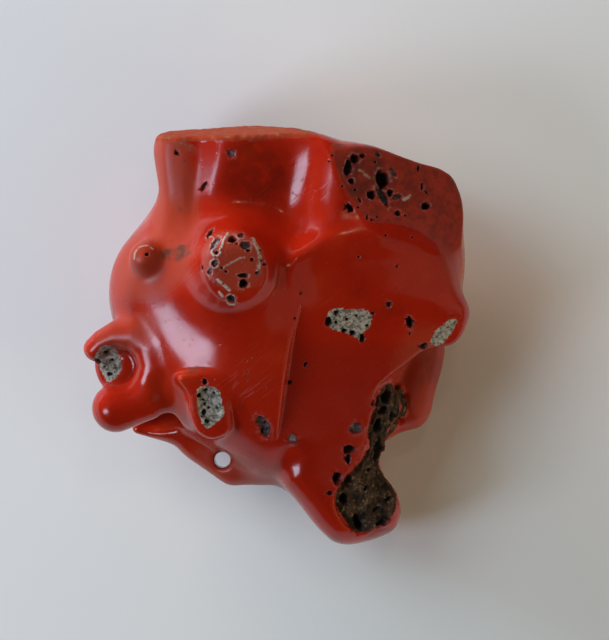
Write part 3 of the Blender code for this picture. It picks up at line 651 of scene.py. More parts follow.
BODY_PORES = (
    (18.0, 1.8, 1.6, 0.8, 100, 0.9, 0.0), (15.3, 4.2, 0.8, 0.5, 80, 0.5, 0.0),
    (4.1, -3.8, 0.7, 0.4, 60, 0.5, 0.0), (2.7, 2.4, 0.35, 0.3, 0, 0.4, 0.0),
    (2.0, -6.2, 0.6, 0.45, 60, 0.5, 0.0), (18.1, 0.3, 0.4, 0.3, 80, 0.4, 0.0),
    (-5.8, 24.3, 0.95, 0.8, 0, 0.3, 0.6), (-9.5, 20.0, 1.35, 0.45, 60, 0.5, 0.1),
    (-13.1, 24.4, 0.6, 0.5, 0, 0.4, 0.0), (-17.0, 10.9, 0.55, 0.4, 20, 0.6, 0.0),
    (-23.9, -3.5, 0.8, 0.6, -20, 0.7, 0.0), (-9.3, -6.1, 0.8, 0.55, 90, 0.7, 0.0),
    (-10.0, -7.9, 0.6, 0.55, 0, 0.6, 0.0), (-9.2, -7.2, 0.55, 0.4, 0, 0.5, 0.0),
    (11.2, 10.5, 0.35, 0.3, 0, 0.4, 0.0), (16.3, 9.3, 0.3, 0.3, 0, 0.3, 0.0),
    (3.5, 5.7, 0.3, 0.3, 0, 0.3, 0.0), (20.0, -1.4, 1.1, 0.8, 30, 0.6, 0.1),
    (2.4, -13.8, 1.2, 1.1, 0, 0.15, 0.7), (-1.5, -12.1, 3.0, 1.4, 114, 0.9, 0.75),
    (-2.5, -11.6, 0.35, 0.3, 0, 0.4, 0.0), (-0.9, -12.9, 0.4, 0.35, 0, 1.2, 0.0),
    (-1.3, -12.1, 0.7, 0.5, 60, 1.3, 0.0), (-1.8, -13.0, 0.5, 0.35, 90, 1.2, 0.0),
)
LEG_PORES = (
    (10.9, -12.4, 1.6, 1.35, 20, 0.7, 0.8), (10.0, -15.3, 1.6, 1.1, 10, 0.9, 0.0),
    (8.4, -19.2, 1.6, 1.15, 80, 1.2, 0.0), (7.4, -21.2, 0.7, 0.55, 0, 0.6, 0.0),
    (9.3, -22.1, 1.6, 0.95, 100, 1.1, 0.0), (11.2, -25.4, 2.15, 0.95, -70, 1.2, 0.0),
    (13.8, -23.5, 1.2, 0.4, 30, 0.6, 0.0), (14.3, -25.4, 1.35, 0.7, 10, 0.8, 0.0),
    (13.9, -12.2, 1.9, 1.1, 80, 1.2, 0.0), (13.8, -15.7, 3.5, 0.8, 80, 0.9, 0.0),
    (9.9, -16.6, 1.35, 0.7, 90, 0.6, 0.0), (12.3, -20.5, 0.95, 0.4, 70, 0.5, 0.0),
    (15.3, -22.1, 0.8, 0.55, 60, 0.6, 0.0), (13.2, -9.0, 0.8, 0.5, 60, 0.6, 0.0),
    (12.7, -18.1, 0.7, 0.4, 20, 0.5, 0.0), (15.0, -8.2, 1.9, 1.2, 70, 1.0, 0.0),
    (14.5, -10.1, 1.5, 1.0, 30, 0.9, 0.0), (15.9, -11.0, 1.3, 0.9, 80, 0.8, 0.0),
)
LIME_PORES = (
    (-22.7, -2.2, 0.7, 0.5, 0, 0.4, 0.1), (-21.9, -3.2, 0.45, 0.4, 0, 0.35, 0.1),
    (-22.3, -5.1, 0.7, 0.55, 0, 0.4, 0.1), (-21.5, -4.3, 0.35, 0.3, 0, 0.3, 0.1),
    (-23.0, -4.1, 0.35, 0.3, 0, 0.3, 0.1), (-9.5, -8.5, 0.4, 0.3, 0, 0.3, 0.1),
    (-9.3, -9.0, 0.35, 0.35, 0, 0.3, 0.1), (-8.8, -9.5, 0.35, 0.35, 0, 0.3, 0.1),
    (-9.4, -10.1, 0.8, 0.6, 70, 0.5, 0.2), (-9.0, -11.3, 0.7, 0.6, 0, 0.4, 0.1),
    (-8.1, -7.6, 0.4, 0.4, 0, 0.3, 0.1), (-7.7, -9.5, 0.35, 0.35, 0, 0.3, 0.1),
    (-9.7, -10.7, 0.3, 0.3, 0, 0.3, 0.1), (7.2, 1.9, 0.95, 1.2, 0, 0.6, 0.0),
    (8.2, 3.1, 0.7, 0.55, 0, 0.5, 0.0), (9.3, 0.7, 0.8, 0.55, 0, 0.6, 0.0),
    (10.4, 0.4, 0.8, 0.7, 0, 0.6, 0.0), (11.7, -0.3, 0.7, 1.1, 0, 0.7, 0.0),
    (13.1, 3.0, 0.55, 0.4, 0, 0.4, 0.0), (10.9, 2.7, 0.4, 0.4, 0, 0.5, 0.0),
    (9.6, 2.2, 0.4, 0.4, 0, 0.5, 0.0), (12.3, 1.4, 0.4, 0.4, 0, 0.5, 0.0),
    (8.2, 1.8, 0.45, 0.45, 0, 0.4, 0.0),
)
# Each group of pores with how chalky its rims are
PORE_GROUPS = (
    (KNOB_PORES, 0.55), (SAWN_PORES, 0.3), (BODY_PORES, 0.15), (LEG_PORES, 0.1), (LIME_PORES, 0.0),
)
PORE_DEEPEST = 2.6

# Patches seen from above
SAWN_PATCH = (
    (7.0, 26.2), (9.5, 27.0), (13.8, 26.6), (17.7, 25.0), (21.6, 23.6), (24.4, 21.9), (25.6, 16.3),
    (23.8, 11.0), (18.6, 10.4), (15.5, 11.6), (13.8, 13.1), (12.4, 15.1), (10.9, 16.9), (10.1, 18.6),
    (9.2, 20.4), (8.0, 23.0),
)
FORK_PLUG = (
    (-23.4, -1.3), (-22.3, -1.1), (-21.5, -1.7), (-20.7, -3.1), (-20.7, -4.7), (-21.7, -5.9),
    (-22.7, -6.3), (-23.4, -4.7), (-23.9, -3.8), (-24.6, -3.2),
)
KNOB_LIME = (
    (-10.3, -6.9), (-9.0, -6.5), (-7.3, -7.1), (-7.0, -8.8), (-6.5, -10.4), (-7.8, -11.5), (-9.0, -12.5),
    (-9.7, -11.7), (-10.3, -9.6), (-10.3, -8.1),
)
FACET_LIME = (
    (6.9, 3.2), (8.2, 3.8), (10.4, 3.5), (12.3, 3.6), (13.1, 2.4), (12.6, 1.1), (11.7, 0.4),
    (12.0, -0.7), (11.2, -0.5), (10.1, 0.3), (8.5, 0.7), (7.2, 1.1),
)
LEDGE_LIME = ((20.7, -0.9), (21.5, 0.8), (23.4, 2.2), (24.6, 2.4), (23.9, 0.8), (22.8, -0.8), (21.7, -1.4))
KNOB_TOP = (
    (-9.4, 11.6), (-8.4, 13.6), (-6.2, 14.0), (-3.4, 13.4), (-1.5, 11.6), (-1.2, 9.2), (-2.4, 7.0),
    (-4.6, 5.9), (-7.4, 6.2), (-9.3, 8.4),
)
# Each patch: what it is, its outline, the height it starts at, how far its edge frays
PATCHES = (
    ("sawn", SAWN_PATCH, 18.0, 0.5), ("lime", FORK_PLUG, 15.4, 0.5), ("lime", KNOB_LIME, 22.0, 0.4),
    ("lime", FACET_LIME, 18.0, 0.5), ("lime", LEDGE_LIME, 12.0, 0.5), ("crust", CRUST_OUTLINE, 10.0, 0.6),
    ("worn", KNOB_TOP, 28.0, 0.9),
)

# Raised lime lines left by worms: the places along each, its width, its height, its paleness
WORM_LINES = (
    (
        ((-2.8, 12.8), (-2.6, 12.3), (-2.2, 11.5), (-1.9, 10.5), (-2.0, 9.6), (-2.1, 8.9), (-2.2, 8.4)),
        0.6, 0.12, 0.8,
    ),
    (
        ((-7.6, 11.7), (-8.1, 11.5), (-8.2, 11.0), (-7.9, 10.6), (-7.4, 10.6), (-7.0, 11.0), (-7.1, 11.5)),
        0.3, 0.15, 1.0,
    ),
    (((-6.9, 11.7), (-6.6, 12.7), (-6.1, 13.5)), 0.35, 0.12, 0.9),
    (
        ((-7.8, 10.2), (-8.3, 9.9), (-8.4, 9.4), (-8.0, 9.0), (-7.5, 9.1), (-7.2, 9.6), (-7.4, 10.1)),
        0.25, 0.1, 0.7,
    ),
    (((-7.4, 7.4), (-6.3, 6.5), (-5.9, 6.1)), 0.5, 0.14, 1.0),
    (((-7.2, 5.8), (-6.8, 5.3)), 0.45, 0.12, 0.9),
    (((-5.1, 4.5), (-5.3, 5.4), (-6.1, 5.4), (-6.4, 4.8), (-6.0, 4.2), (-5.3, 4.2)), 0.25, 0.1, 0.9),
    (((-7.0, 8.8), (-5.8, 9.6), (-4.5, 10.3), (-3.9, 10.4)), 0.4, 0.05, 0.55),
    (((-8.9, 13.0), (-8.3, 13.2), (-7.9, 12.9)), 0.25, 0.08, 0.6),
    # This arc on the small knob's upper left, lit side is a painted highlight, drawn as a pale raised line
    (((-18.7, 10.3), (-18.6, 11.2), (-17.9, 11.9), (-16.9, 12.0), (-16.2, 11.5)), 0.35, 0.08, 0.6),
    (((12.7, 21.0), (12.0, 21.5), (11.2, 22.1)), 0.6, 0.03, 0.45),
    (((17.2, 18.2), (17.6, 18.4), (18.0, 18.7)), 0.6, 0.1, 0.7),
)

# Brown stains: place, length, width, turn, lowest and highest place, strength
STAINS = (
    (-10.4, -4.4, 4.6, 1.7, 12, 20.0, 30.0, 0.8), (-13.2, 11.0, 6.0, 3.0, 15, 15.0, 30.0, 0.85),
    (-12.7, 17.2, 1.0, 2.8, 8, 5.0, 30.0, 0.8), (-12.2, 23.8, 1.0, 3.0, 10, 5.0, 30.0, 0.7),
    (-2.6, 12.6, 2.4, 1.0, -40, 28.0, 40.0, 0.35), (10.9, 18.3, 3.4, 1.9, -60, 20.0, 32.0, 0.7),
    (14.6, 20.0, 5.5, 4.5, 60, 20.0, 32.0, 0.45), (10.3, 22.8, 3.6, 2.4, 80, 20.0, 32.0, 0.4),
    (-5.0, 27.4, 24.0, 1.6, 0, 14.0, 32.0, 0.6), (-22.3, -3.8, 4.6, 6.0, 0, 15.0, 22.0, 0.6),
    (-8.7, -9.2, 5.2, 8.0, 0, 22.0, 30.0, 0.3), (9.8, 1.8, 7.6, 5.2, -10, 18.0, 30.0, 0.35),
    (22.4, 0.2, 5.0, 3.2, 35, 12.0, 30.0, 0.5), (11.5, -18.0, 9.0, 20.0, 12, 8.0, 26.0, 0.35),
    (-1.6, -12.0, 2.2, 3.4, 14, 18.0, 30.0, 0.4),
)
# The chip at the neck's end: place, length and width, turn
NECK_CHIP = ((-12.2, 25.6), (3.4, 1.5), -35)
# Where the polish has gone dull and a pinkish sheen is painted: place, length, width, turn, strength
DULL_SHEEN_SPOTS = (
    (-13.9, 19.5, 16.0, 7.0, 98, 1.0), (-16.5, 9.5, 12.0, 9.0, 30, 0.9), (-20.0, 0.5, 9.0, 5.0, 20, 0.7),
    (-5.0, -18.5, 13.0, 5.0, -25, 0.8), (24.5, 13.0, 14.0, 5.0, 90, 0.8),
    (20.0, -6.0, 14.0, 8.0, 90, 0.8),
)
# Painted shade, where the red is darkened: place, length, width, turn, strength
PAINTED_SHADE_SPOTS = (
    (-2.6, 22.2, 9.0, 8.5, 90, 0.55), (11.6, 21.6, 7.0, 6.0, 60, 0.95),
    (17.2, 20.6, 8.0, 6.0, -20, 0.35), (14.5, -27.6, 5.0, 3.4, 30, 0.7), (0.8, 9.0, 6.0, 2.6, 75, 0.4),
    (22.0, -4.0, 8.0, 4.0, 60, 0.5),
)
# Scratched ground: place, length, width, turn, strength
SCUFFS = (
    (-2.4, -5.2, 11.0, 8.0, 40, 1.0), (8.0, 4.5, 12.0, 6.0, -8, 0.35), (18.0, 8.0, 10.0, 8.0, 20, 0.3),
    (-14.0, 11.0, 9.0, 7.0, 0, 0.6), (2.0, 20.0, 16.0, 8.0, 0, 0.3), (-9.0, -9.0, 7.0, 9.0, 0, 0.5),
)
# Each kind of spot: its mark, its spots, the height it starts at, how far out it goes, how softly it ends
SPOT_KINDS = (
    ("scuff", SCUFFS, 14.0, 1.2, 0.8), ("dull", DULL_SHEEN_SPOTS, 0.0, 1.3, 0.6),
    ("dark", PAINTED_SHADE_SPOTS, 0.0, 1.3, 0.6),
)
# Uneven ground: its marks and its layers of lumps, each with a height, a width and a place in the noise
POLISH_LUMPS = ((0.07, 4.5, 0.0),)
GROUND_LUMPS = (
    (("lime",), ((0.13, 0.42, 3.0), (0.1, 0.9, 5.0))),
    (("crust",), ((0.5, 1.5, 8.0), (0.26, 0.6, 11.0), (0.09, 0.27, 14.0))),
    (("broken",), ((0.15, 0.9, 21.0),)),
    (("sawn", "worn"), ((0.03, 0.6, 17.0),)),
)
# Where marks end: off their face, where the skin turns away, at the foot, below a height
SAWN_REACH = 0.45
FACET_REACH = 0.3
BROKEN_REACH = 0.4
BROKEN_RIGHT = 4.0
BROKEN_LOW = 10.0
WORM_LOW = 20.0
FACING_START = 0.02
FACING_SOFT = 0.2
FOOT_EDGE = 1.5
LEAST_SHARE = 0.02
MARK_NAMES = (
    "sawn", "facet", "lime", "crust", "worn", "pit", "pale_pit", "rim", "worm", "stain", "scuff", "ridge",
    "hollow", "broken", "sunken", "dull", "dark",
)


class Patch:
    """Part of the skin with an outline seen from above, from one height up."""

    def __init__(self, outline, low, fray):
        corners = rounded_outline(outline)
        self.low = low
        self.fray = fray
        self.low_corner = corners.min(axis=0) - PLAN_MARGIN
        self.plan = plan_distances(corners, self.low_corner)

    def distance(self, points):
        """Distance outside the patch in the plan, negative inside, and large below it."""
        across = grid_value(self.plan, (points[:, :2] - self.low_corner) / PLAN_STEP)
        return np.where(points[:, 2] > self.low, across, PLAN_MARGIN)

    def share(self, points):
        """One inside, nought outside, a half along the outline."""
        return np.clip(0.5 - self.distance(points) / (2 * self.fray), 0.0, 1.0)


def spot_share(points, place, size, turn, ragged=0.0):
    """How far out the points are in a ragged oval seen from above, as a share of its radius."""
    angle = math.radians(turn)
    away = points[:, :2] - place
    along = (away[:, 0] * math.cos(angle) + away[:, 1] * math.sin(angle)) * 2 / size[0]
    across = (away[:, 1] * math.cos(angle) - away[:, 0] * math.sin(angle)) * 2 / size[1]
    round_it = np.arctan2(across, along)
    start = 7.0 * place[0] + 3.0 * place[1]
    wave = 0.6 * np.sin(3 * round_it + start) + 0.4 * np.sin(5 * round_it + 2 * start)
    return np.hypot(along, across) * (1.0 + ragged * wave)


def on_face(points, face, reach):
    """One on the plane through three places, nought at twice the reach from it."""
    return eased(2.0 - np.abs(plane(points, face)) / reach)


def line_distance(points, line):
    """Distance in the plan to a line through a few places."""
    nearest = np.full(len(points), np.inf)
    for start, end in zip(line, line[1:]):
        along = np.array(end) - start
        away = points[:, :2] - start
        share = np.clip(away @ along / (along @ along), 0.0, 1.0)
        nearest = np.minimum(nearest, np.linalg.norm(away - share[:, None] * along, axis=1))
    return nearest


def lumps(points, layers):
    """Layers of smooth noise, in millimetres."""
    height = np.zeros(len(points))
    for high, wide, shift in layers:
        start = shift * Vector((1.0, 2.0, 3.0))
        height += high * np.array([noise.noise(Vector(place) / wide + start) for place in points])
    return height


class SkinDetail:
    """Where the skin is bored, patched, crusted and stained, and how far that moves it."""

    def __init__(self):
        self.pores = [(pore, chalk) for group, chalk in PORE_GROUPS for pore in group]
        self.tops = top_of_coral(np.array([pore[:2] for pore, _ in self.pores]))
        self.patches = [(kind, Patch(outline, low, fray)) for kind, outline, low, fray in PATCHES]

    def wanted_edge(self, points):
        """The longest edge that the skin may have at each point."""
        wanted = np.full(len(points), np.inf)
        for _, patch in self.patches:
            wanted = np.where(patch.distance(points) < patch.fray + 0.3, PATCH_EDGE, wanted)
        for line, width, _, _ in WORM_LINES:
            close = (line_distance(points, line) < width) & (points[:, 2] > WORM_LOW)
            wanted = np.where(close, WORM_EDGE, wanted)
        for (pore, _), top in zip(self.pores, self.tops):
            share = spot_share(points, pore[:2], pore[2:4], pore[4])
            close = (share < 1.0 + 0.35 / min(pore[2:4])) & (np.abs(points[:, 2] - top) < PORE_DEEPEST)
            step = max(FINEST_EDGE, min(pore[3] / 6, PATCH_EDGE))
            wanted = np.where(close, np.minimum(wanted, step), wanted)
        return wanted

    def marks(self, points, normals):
        """Each mark's share at every point, and how far each point is sunk into the coral."""
        shares = {name: np.zeros(len(points)) for name in MARK_NAMES}
        facing = eased((normals[:, 2] - FACING_START) / FACING_SOFT)
        for kind, patch in self.patches:
            shares[kind] = np.maximum(shares[kind], patch.share(points) * facing)
        shares["sawn"] *= on_face(points, SAWN_FACE, SAWN_REACH)
        off_edge = eased(0.5 - wall_distance(points) / 0.2)
        shares["facet"] = on_face(points, GROUND_FACET, FACET_REACH) * off_edge
        broken = on_face(points, NECK_END, BROKEN_REACH) * eased(1.0 - (points[:, 0] - BROKEN_RIGHT) / 3.0)
        chip = 0.8 * eased(1.4 - spot_share(points, *NECK_CHIP, 0.3))
        shares["broken"] = np.maximum(broken, chip) * (points[:, 2] > BROKEN_LOW)
        sunk = self.rough_ground(points, shares)
        sunk += self.bored(points, facing, shares)
        sunk -= self.worm_lines(points, facing, shares)
        for x, y, length, width, turn, low, high, strength in STAINS:
            share = spot_share(points, (x, y), (length, width), turn, 0.15)
            within = (points[:, 2] > low) & (points[:, 2] < high)
            shares["stain"] = np.maximum(shares["stain"], strength * within * eased((1.3 - share) / 0.9))
        for name, spots, low, reach, soft in SPOT_KINDS:
            above = facing * (points[:, 2] > low)
            for x, y, length, width, turn, strength in spots:
                share = spot_share(points, (x, y), (length, width), turn)
                shares[name] = np.maximum(shares[name], strength * above * eased((reach - share) / soft))
        return shares, sunk

    def rough_ground(self, points, shares):
        """The unevenness of hand polish everywhere, and of each kind of rough ground."""
        standing = eased(points[:, 2] / FOOT_EDGE)
        sunk = lumps(points, POLISH_LUMPS) * standing * (1.0 - shares["sawn"])
        for names, layers in GROUND_LUMPS:
            whole = sum(shares[name] for name in names)
            rough = np.nonzero(whole > LEAST_SHARE)[0]
            share = whole[rough]
            height = lumps(points[rough], layers)
            if "crust" in names:
                # Painted shade: sunken crust is marked for darkening
                shares["sunken"][rough] = eased(0.35 + 1.6 * height)
                share = eased(2 * share)
            sunk[rough] += share * height
        return sunk

    def bored(self, points, facing, shares):
        """The pores, sunk and shaded."""
        sunk = np.zeros(len(points))
        for (pore, chalk), top in zip(self.pores, self.tops):
            x, y, length, width, turn, depth, pale = pore
            share = spot_share(points, (x, y), (length, width), turn, 0.12)
            within = facing * (np.abs(points[:, 2] - top) < PORE_DEEPEST)
            hollow = within * eased((1.12 - share) / 0.4)
            sunk = np.maximum(sunk, depth * hollow)
            shares["pit"] = np.maximum(shares["pit"], within * eased((1.18 - share) / 0.3))
            shares["pale_pit"] = np.maximum(shares["pale_pit"], pale * within * eased((1.05 - share) / 0.4))
            ring = within * eased(1.0 - np.abs(share - 1.3) / 0.35)
            shares["rim"] = np.maximum(shares["rim"], chalk * ring)
        return sunk

    def worm_lines(self, points, facing, shares):
        """The raised lime lines on the knob and the sawn face."""
        raised = np.zeros(len(points))
        for line, width, height, pale in WORM_LINES:
            share = line_distance(points, line) / (width / 2)
            within = facing * (points[:, 2] > WORM_LOW)
            round_top = within * eased((1.25 - share) / 0.9)
            raised = np.maximum(raised, height * round_top)
            shares["worm"] = np.maximum(shares["worm"], pale * round_top)
        return raised


def edge_arrays(bm):
    """The bmesh's points, normals and the two ends of each edge."""
    places = np.array([vert.co for vert in bm.verts])
    normals = np.array([vert.normal for vert in bm.verts])
    ends = np.array([[vert.index for vert in edge.verts] for edge in bm.edges])
    return places, normals, ends


def refine(mesh, detail):
    """Cuts the long edges where the skin carries detail or bends."""
    bm = bmesh.new()
    bm.from_mesh(mesh)
    bmesh.ops.triangulate(bm, faces=bm.faces)
    bm.normal_update()
    bm.verts.index_update()
    places, normals, ends = edge_arrays(bm)
    length = np.linalg.norm(places[ends[:, 0]] - places[ends[:, 1]], axis=1)
    bend = (normals[ends[:, 0]] * normals[ends[:, 1]]).sum(axis=1)
    creased = (bend < math.cos(math.radians(CREASE_ANGLE))) & (length > 1.4 * CREASE_EDGE)
    middles = (places[ends[:, 0]] + places[ends[:, 1]]) / 2
    long = creased | (length > 1.4 * detail.wanted_edge(middles))
    bm.edges.ensure_lookup_table()
    chosen = [bm.edges[k] for k in np.nonzero(long)[0]]
    bmesh.ops.subdivide_edges(bm, edges=chosen, cuts=1, use_grid_fill=True)
    bmesh.ops.triangulate(bm, faces=bm.faces)
    bm.to_mesh(mesh)
    bm.free()


def carve_detail(mesh, detail, depth):
    """Sinks the mesh's points by the skin's detail and keeps each mark's share as an attribute."""
    places = mesh_places(mesh)
    _, slope = slope_of(coral, places)
    normals = slope / np.maximum(np.linalg.norm(slope, axis=1), 1e-6)[:, None]
    shares, sunk = detail.marks(places, normals)
    bend = bend_of(coral, places)
    # Ridges and hollows, which carry the colour's painted highlight and painted shade
    shares["ridge"] = eased(bend / RIDGE_BEND - 0.4)
    shares["hollow"] = eased(-bend / HOLLOW_BEND - 0.3)
    above_foot = eased(places[:, 2] / 0.8)
    places -= (depth * sunk * above_foot)[:, None] * normals
    mesh.vertices.foreach_set("co", places.ravel())
    for name, share in shares.items():
        made = mesh.attributes.new(name, "FLOAT", "POINT")
        made.data.foreach_set("value", share.astype(np.float32))


def coral_mesh(settings):
    """The whole coral's skin in metres, with its detail."""
    detail = SkinDetail()
    mesh = grown_coral(settings.skin_step / MM)
    for _ in range(REFINE_ROUNDS):
        refine(mesh, detail)
        settle(mesh, coral, 3, 0.0)
    saw_flat(mesh)
    carve_detail(mesh, detail, settings.detail_depth)
    mesh.transform(Matrix.Scale(MM, 4))
    mesh.shade_smooth()
    return mesh


def operator(operation, swapped=False):
    """A method that adds a Math node for the wire and another value."""
    def combined(wire, other):
        first, second = (other, wire) if swapped else (wire, other)
        return wire.maths(operation, first, second)
    return combined


class Wire:
    """A node's output that adds Math nodes when it is used in an expression."""

    __add__ = operator("ADD")
    __radd__ = operator("ADD", True)
    __sub__ = operator("SUBTRACT")
    __rsub__ = operator("SUBTRACT", True)
    __mul__ = operator("MULTIPLY")

    def __init__(self, recipe, socket):
        self.recipe = recipe
        self.socket = socket

    def maths(self, operation, first, second):
        return self.recipe.node("ShaderNodeMath", {"operation": operation}, {0: first, 1: second})

    def at_most(self, other):
        return self.maths("MINIMUM", self, other)

    def at_least(self, other):
        return self.maths("MAXIMUM", self, other)


class Recipe:
    """A material as it is built up."""

    def __init__(self, name):
        self.material = bpy.data.materials.new(name)
        self.material.use_nodes = True
        self.tree = self.material.node_tree
        self.shader = self.tree.nodes["Principled BSDF"]

    def node(self, kind, settings=None, values=None, output=0):
        """One node: its settings first, then its sockets' values or links. Gives one of its outputs."""
        made = self.tree.nodes.new(kind)
        for name, value in (settings or {}).items():
            setattr(made, name, value)
        for name, value in (values or {}).items():
            self.feed(made.inputs[name], value)
        return Wire(self, made.outputs[output])

    def feed(self, socket, value):
        """Links a wire to the socket, or sets the socket's own value."""
        if isinstance(value, Wire):
            self.tree.links.new(value.socket, socket)
        elif socket.type == "RGBA" and len(value) == 3:
            socket.default_value = (*value, 1.0)
        else:
            socket.default_value = value

    def attribute(self, name):
        return self.node("ShaderNodeAttribute", {"attribute_name": name}, output="Fac")

    def millimetres(self):
        """Object coordinates in millimetres."""
        place = self.node("ShaderNodeTexCoord", output="Object")
        return self.node("ShaderNodeVectorMath", {"operation": "SCALE"}, {0: place, "Scale": 1.0 / MM})

    def stretched(self, place, turn, sizes):
        """Places turned about the vertical, then divided by a size along each axis."""
        turned = self.node(
            "ShaderNodeMapping", {"vector_type": "POINT"},
            {"Vector": place, "Rotation": (0.0, 0.0, math.radians(-turn))},
        )
        shrunk = tuple(1.0 / size for size in sizes)
        return self.node("ShaderNodeVectorMath", {"operation": "MULTIPLY"}, {0: turned, 1: shrunk})

    def cloud(self, place, size, detail=2.0, rough=0.5):
        """Noise from nought to one with lumps of about that size."""
        values = {"Vector": place, "Scale": 1.0 / size, "Detail": detail, "Roughness": rough}
        return self.node("ShaderNodeTexNoise", None, values)

    def cells(self, place, size):
        """Distance to the nearest of many scattered points, about that size apart."""
        values = {"Vector": place, "Scale": 1.0 / size}
        return self.node("ShaderNodeTexVoronoi", None, values, "Distance")

    def ramp(self, value, low, high):
        """The value brought from low..high to nought..one and held there, with a soft start and end."""
        values = {"Value": value, "From Min": low, "From Max": high}
        return self.node("ShaderNodeMapRange", {"interpolation_type": "SMOOTHSTEP"}, values)

    def blotches(self, place, size, low, high, detail=2.0, rough=0.5):
        """Noise brought from low..high to nought..one."""
        return self.ramp(self.cloud(place, size, detail, rough), low, high)

    def mix(self, share, first, second):
        """One colour over another."""
        return self.node("ShaderNodeMix", {"data_type": "RGBA"}, {0: share, 6: first, 7: second}, 2)

    def blend(self, share, first, second):
        """One number over another."""
        return first + (second - first) * share


def scratches(recipe, place, turn, width):
    """Fine polishing lines that run one way across the coral."""
    lines = recipe.cloud(recipe.stretched(place, turn, (5.0, width, 5.0)), 1.0, 2.0)
    return recipe.ramp(lines, 0.56, 0.72)


def polished_red(recipe, place, finish):
    """The living red of the coral: deep and orange clouds, with a fine grain."""
    drift = recipe.cloud(place, 8.0, 1.0)
    cloud = recipe.cloud(place, 2.2, 4.0, 0.6)
    grain = recipe.cloud(place, 0.3, 2.0)
    tone = (drift - 0.5) * 1.0 + (cloud - 0.5) * 0.45 + (grain - 0.5) * 0.2 + 0.5
    colour = recipe.mix(recipe.ramp(tone, 0.15, 0.5), finish.deep_red, finish.coral_red)
    return recipe.mix(recipe.ramp(tone, 0.5, 0.95) * 0.6, colour, finish.orange_red)


def dust(recipe, place):
    """Pale specks of dust, thicker in some places than in others."""
    speck = recipe.ramp(recipe.cells(place, 0.75), 0.09, 0.04)
    return speck * recipe.blotches(place, 3.0, 0.48, 0.62, 1.0)


def pricks(recipe, place):
    """Small pits in the polish, in loose groups."""
    prick = recipe.ramp(recipe.cells(place, 0.8), 0.26, 0.12)
    return prick * recipe.blotches(place, 2.5, 0.5, 0.6, 1.0)


def sawn_red(recipe, place, finish):
    """The dull red of the sawn face, paler and browner in clouds."""
    colour = recipe.mix(recipe.blotches(place, 1.3, 0.35, 0.6, 4.0, 0.65), SAWN_DARK, finish.sawn_red)
    return recipe.mix(recipe.blotches(place, 0.5, 0.55, 0.8, 3.0) * 0.35, colour, SAWN_WARM)


def lime_colour(recipe, place, finish):
    """Grey lime with darker hollows and pale crumbs, and black painted shade in its small holes."""
    mottle = recipe.blotches(place, 0.55, 0.36, 0.62, 4.0, 0.7)
    colour = recipe.mix(mottle, finish.lime_dark, finish.lime_pale)
    holes = recipe.ramp(recipe.cells(place, 0.5), 0.2, 0.08) * recipe.blotches(place, 1.1, 0.45, 0.6, 1.0)
    return recipe.mix(holes, colour, LIME_HOLE_SHADE)


def crust_colour(recipe, place, finish):
    """Brown crust with tan streaks that run along the branch."""
    streak = recipe.cloud(recipe.stretched(place, 78.0, (2.6, 0.5, 1.6)), 1.0, 4.0, 0.65)
    colour = recipe.mix(recipe.ramp(streak, 0.36, 0.55), finish.crust_dark_and_shade, finish.crust_brown)
    return recipe.mix(recipe.blotches(place, 0.6, 0.52, 0.7, 4.0, 0.7), colour, finish.crust_tan)


def pit_colour(recipe, place, pale):
    """Black painted shade in the deep pores, grey with a lilac cast where they are shallow and filled."""
    fill = recipe.mix(recipe.blotches(place, 0.35, 0.35, 0.65, 3.0), PIT_GREY, PIT_LILAC)
    return recipe.mix(pale, PIT_SHADE, fill)


def frayed_edges(recipe, place, marks):
    """The marks' shares with ragged edges."""
    fray = recipe.cloud(place, 0.42, 4.0, 0.65) - 0.5
    edges = {"sawn": (0.5, 0.34), "lime": (0.9, 0.06), "crust": (0.9, 0.06), "worn": (0.8, 0.2)}
    made = dict(marks)
    for name, (amount, soft) in edges.items():
        made[name] = recipe.ramp(marks[name] + fray * amount, 0.5 - soft, 0.5 + soft)
    coarse, fine = recipe.cloud(place, 1.6, 3.0, 0.6), recipe.cloud(place, 0.35, 4.0, 0.75)
    stained = recipe.ramp(marks["stain"] * 0.8 + (coarse - 0.5) * 0.9 + (fine - 0.5) * 0.9, 0.44, 0.8)
    made["stain"] = stained * recipe.ramp(marks["stain"], 0.05, 0.3)
    made["worm"] = marks["worm"] * recipe.blotches(place, 0.5, 0.36, 0.5, 3.0, 0.6)
    made["rim"] = marks["rim"] * recipe.blotches(place, 0.5, 0.42, 0.6, 3.0)
    return made


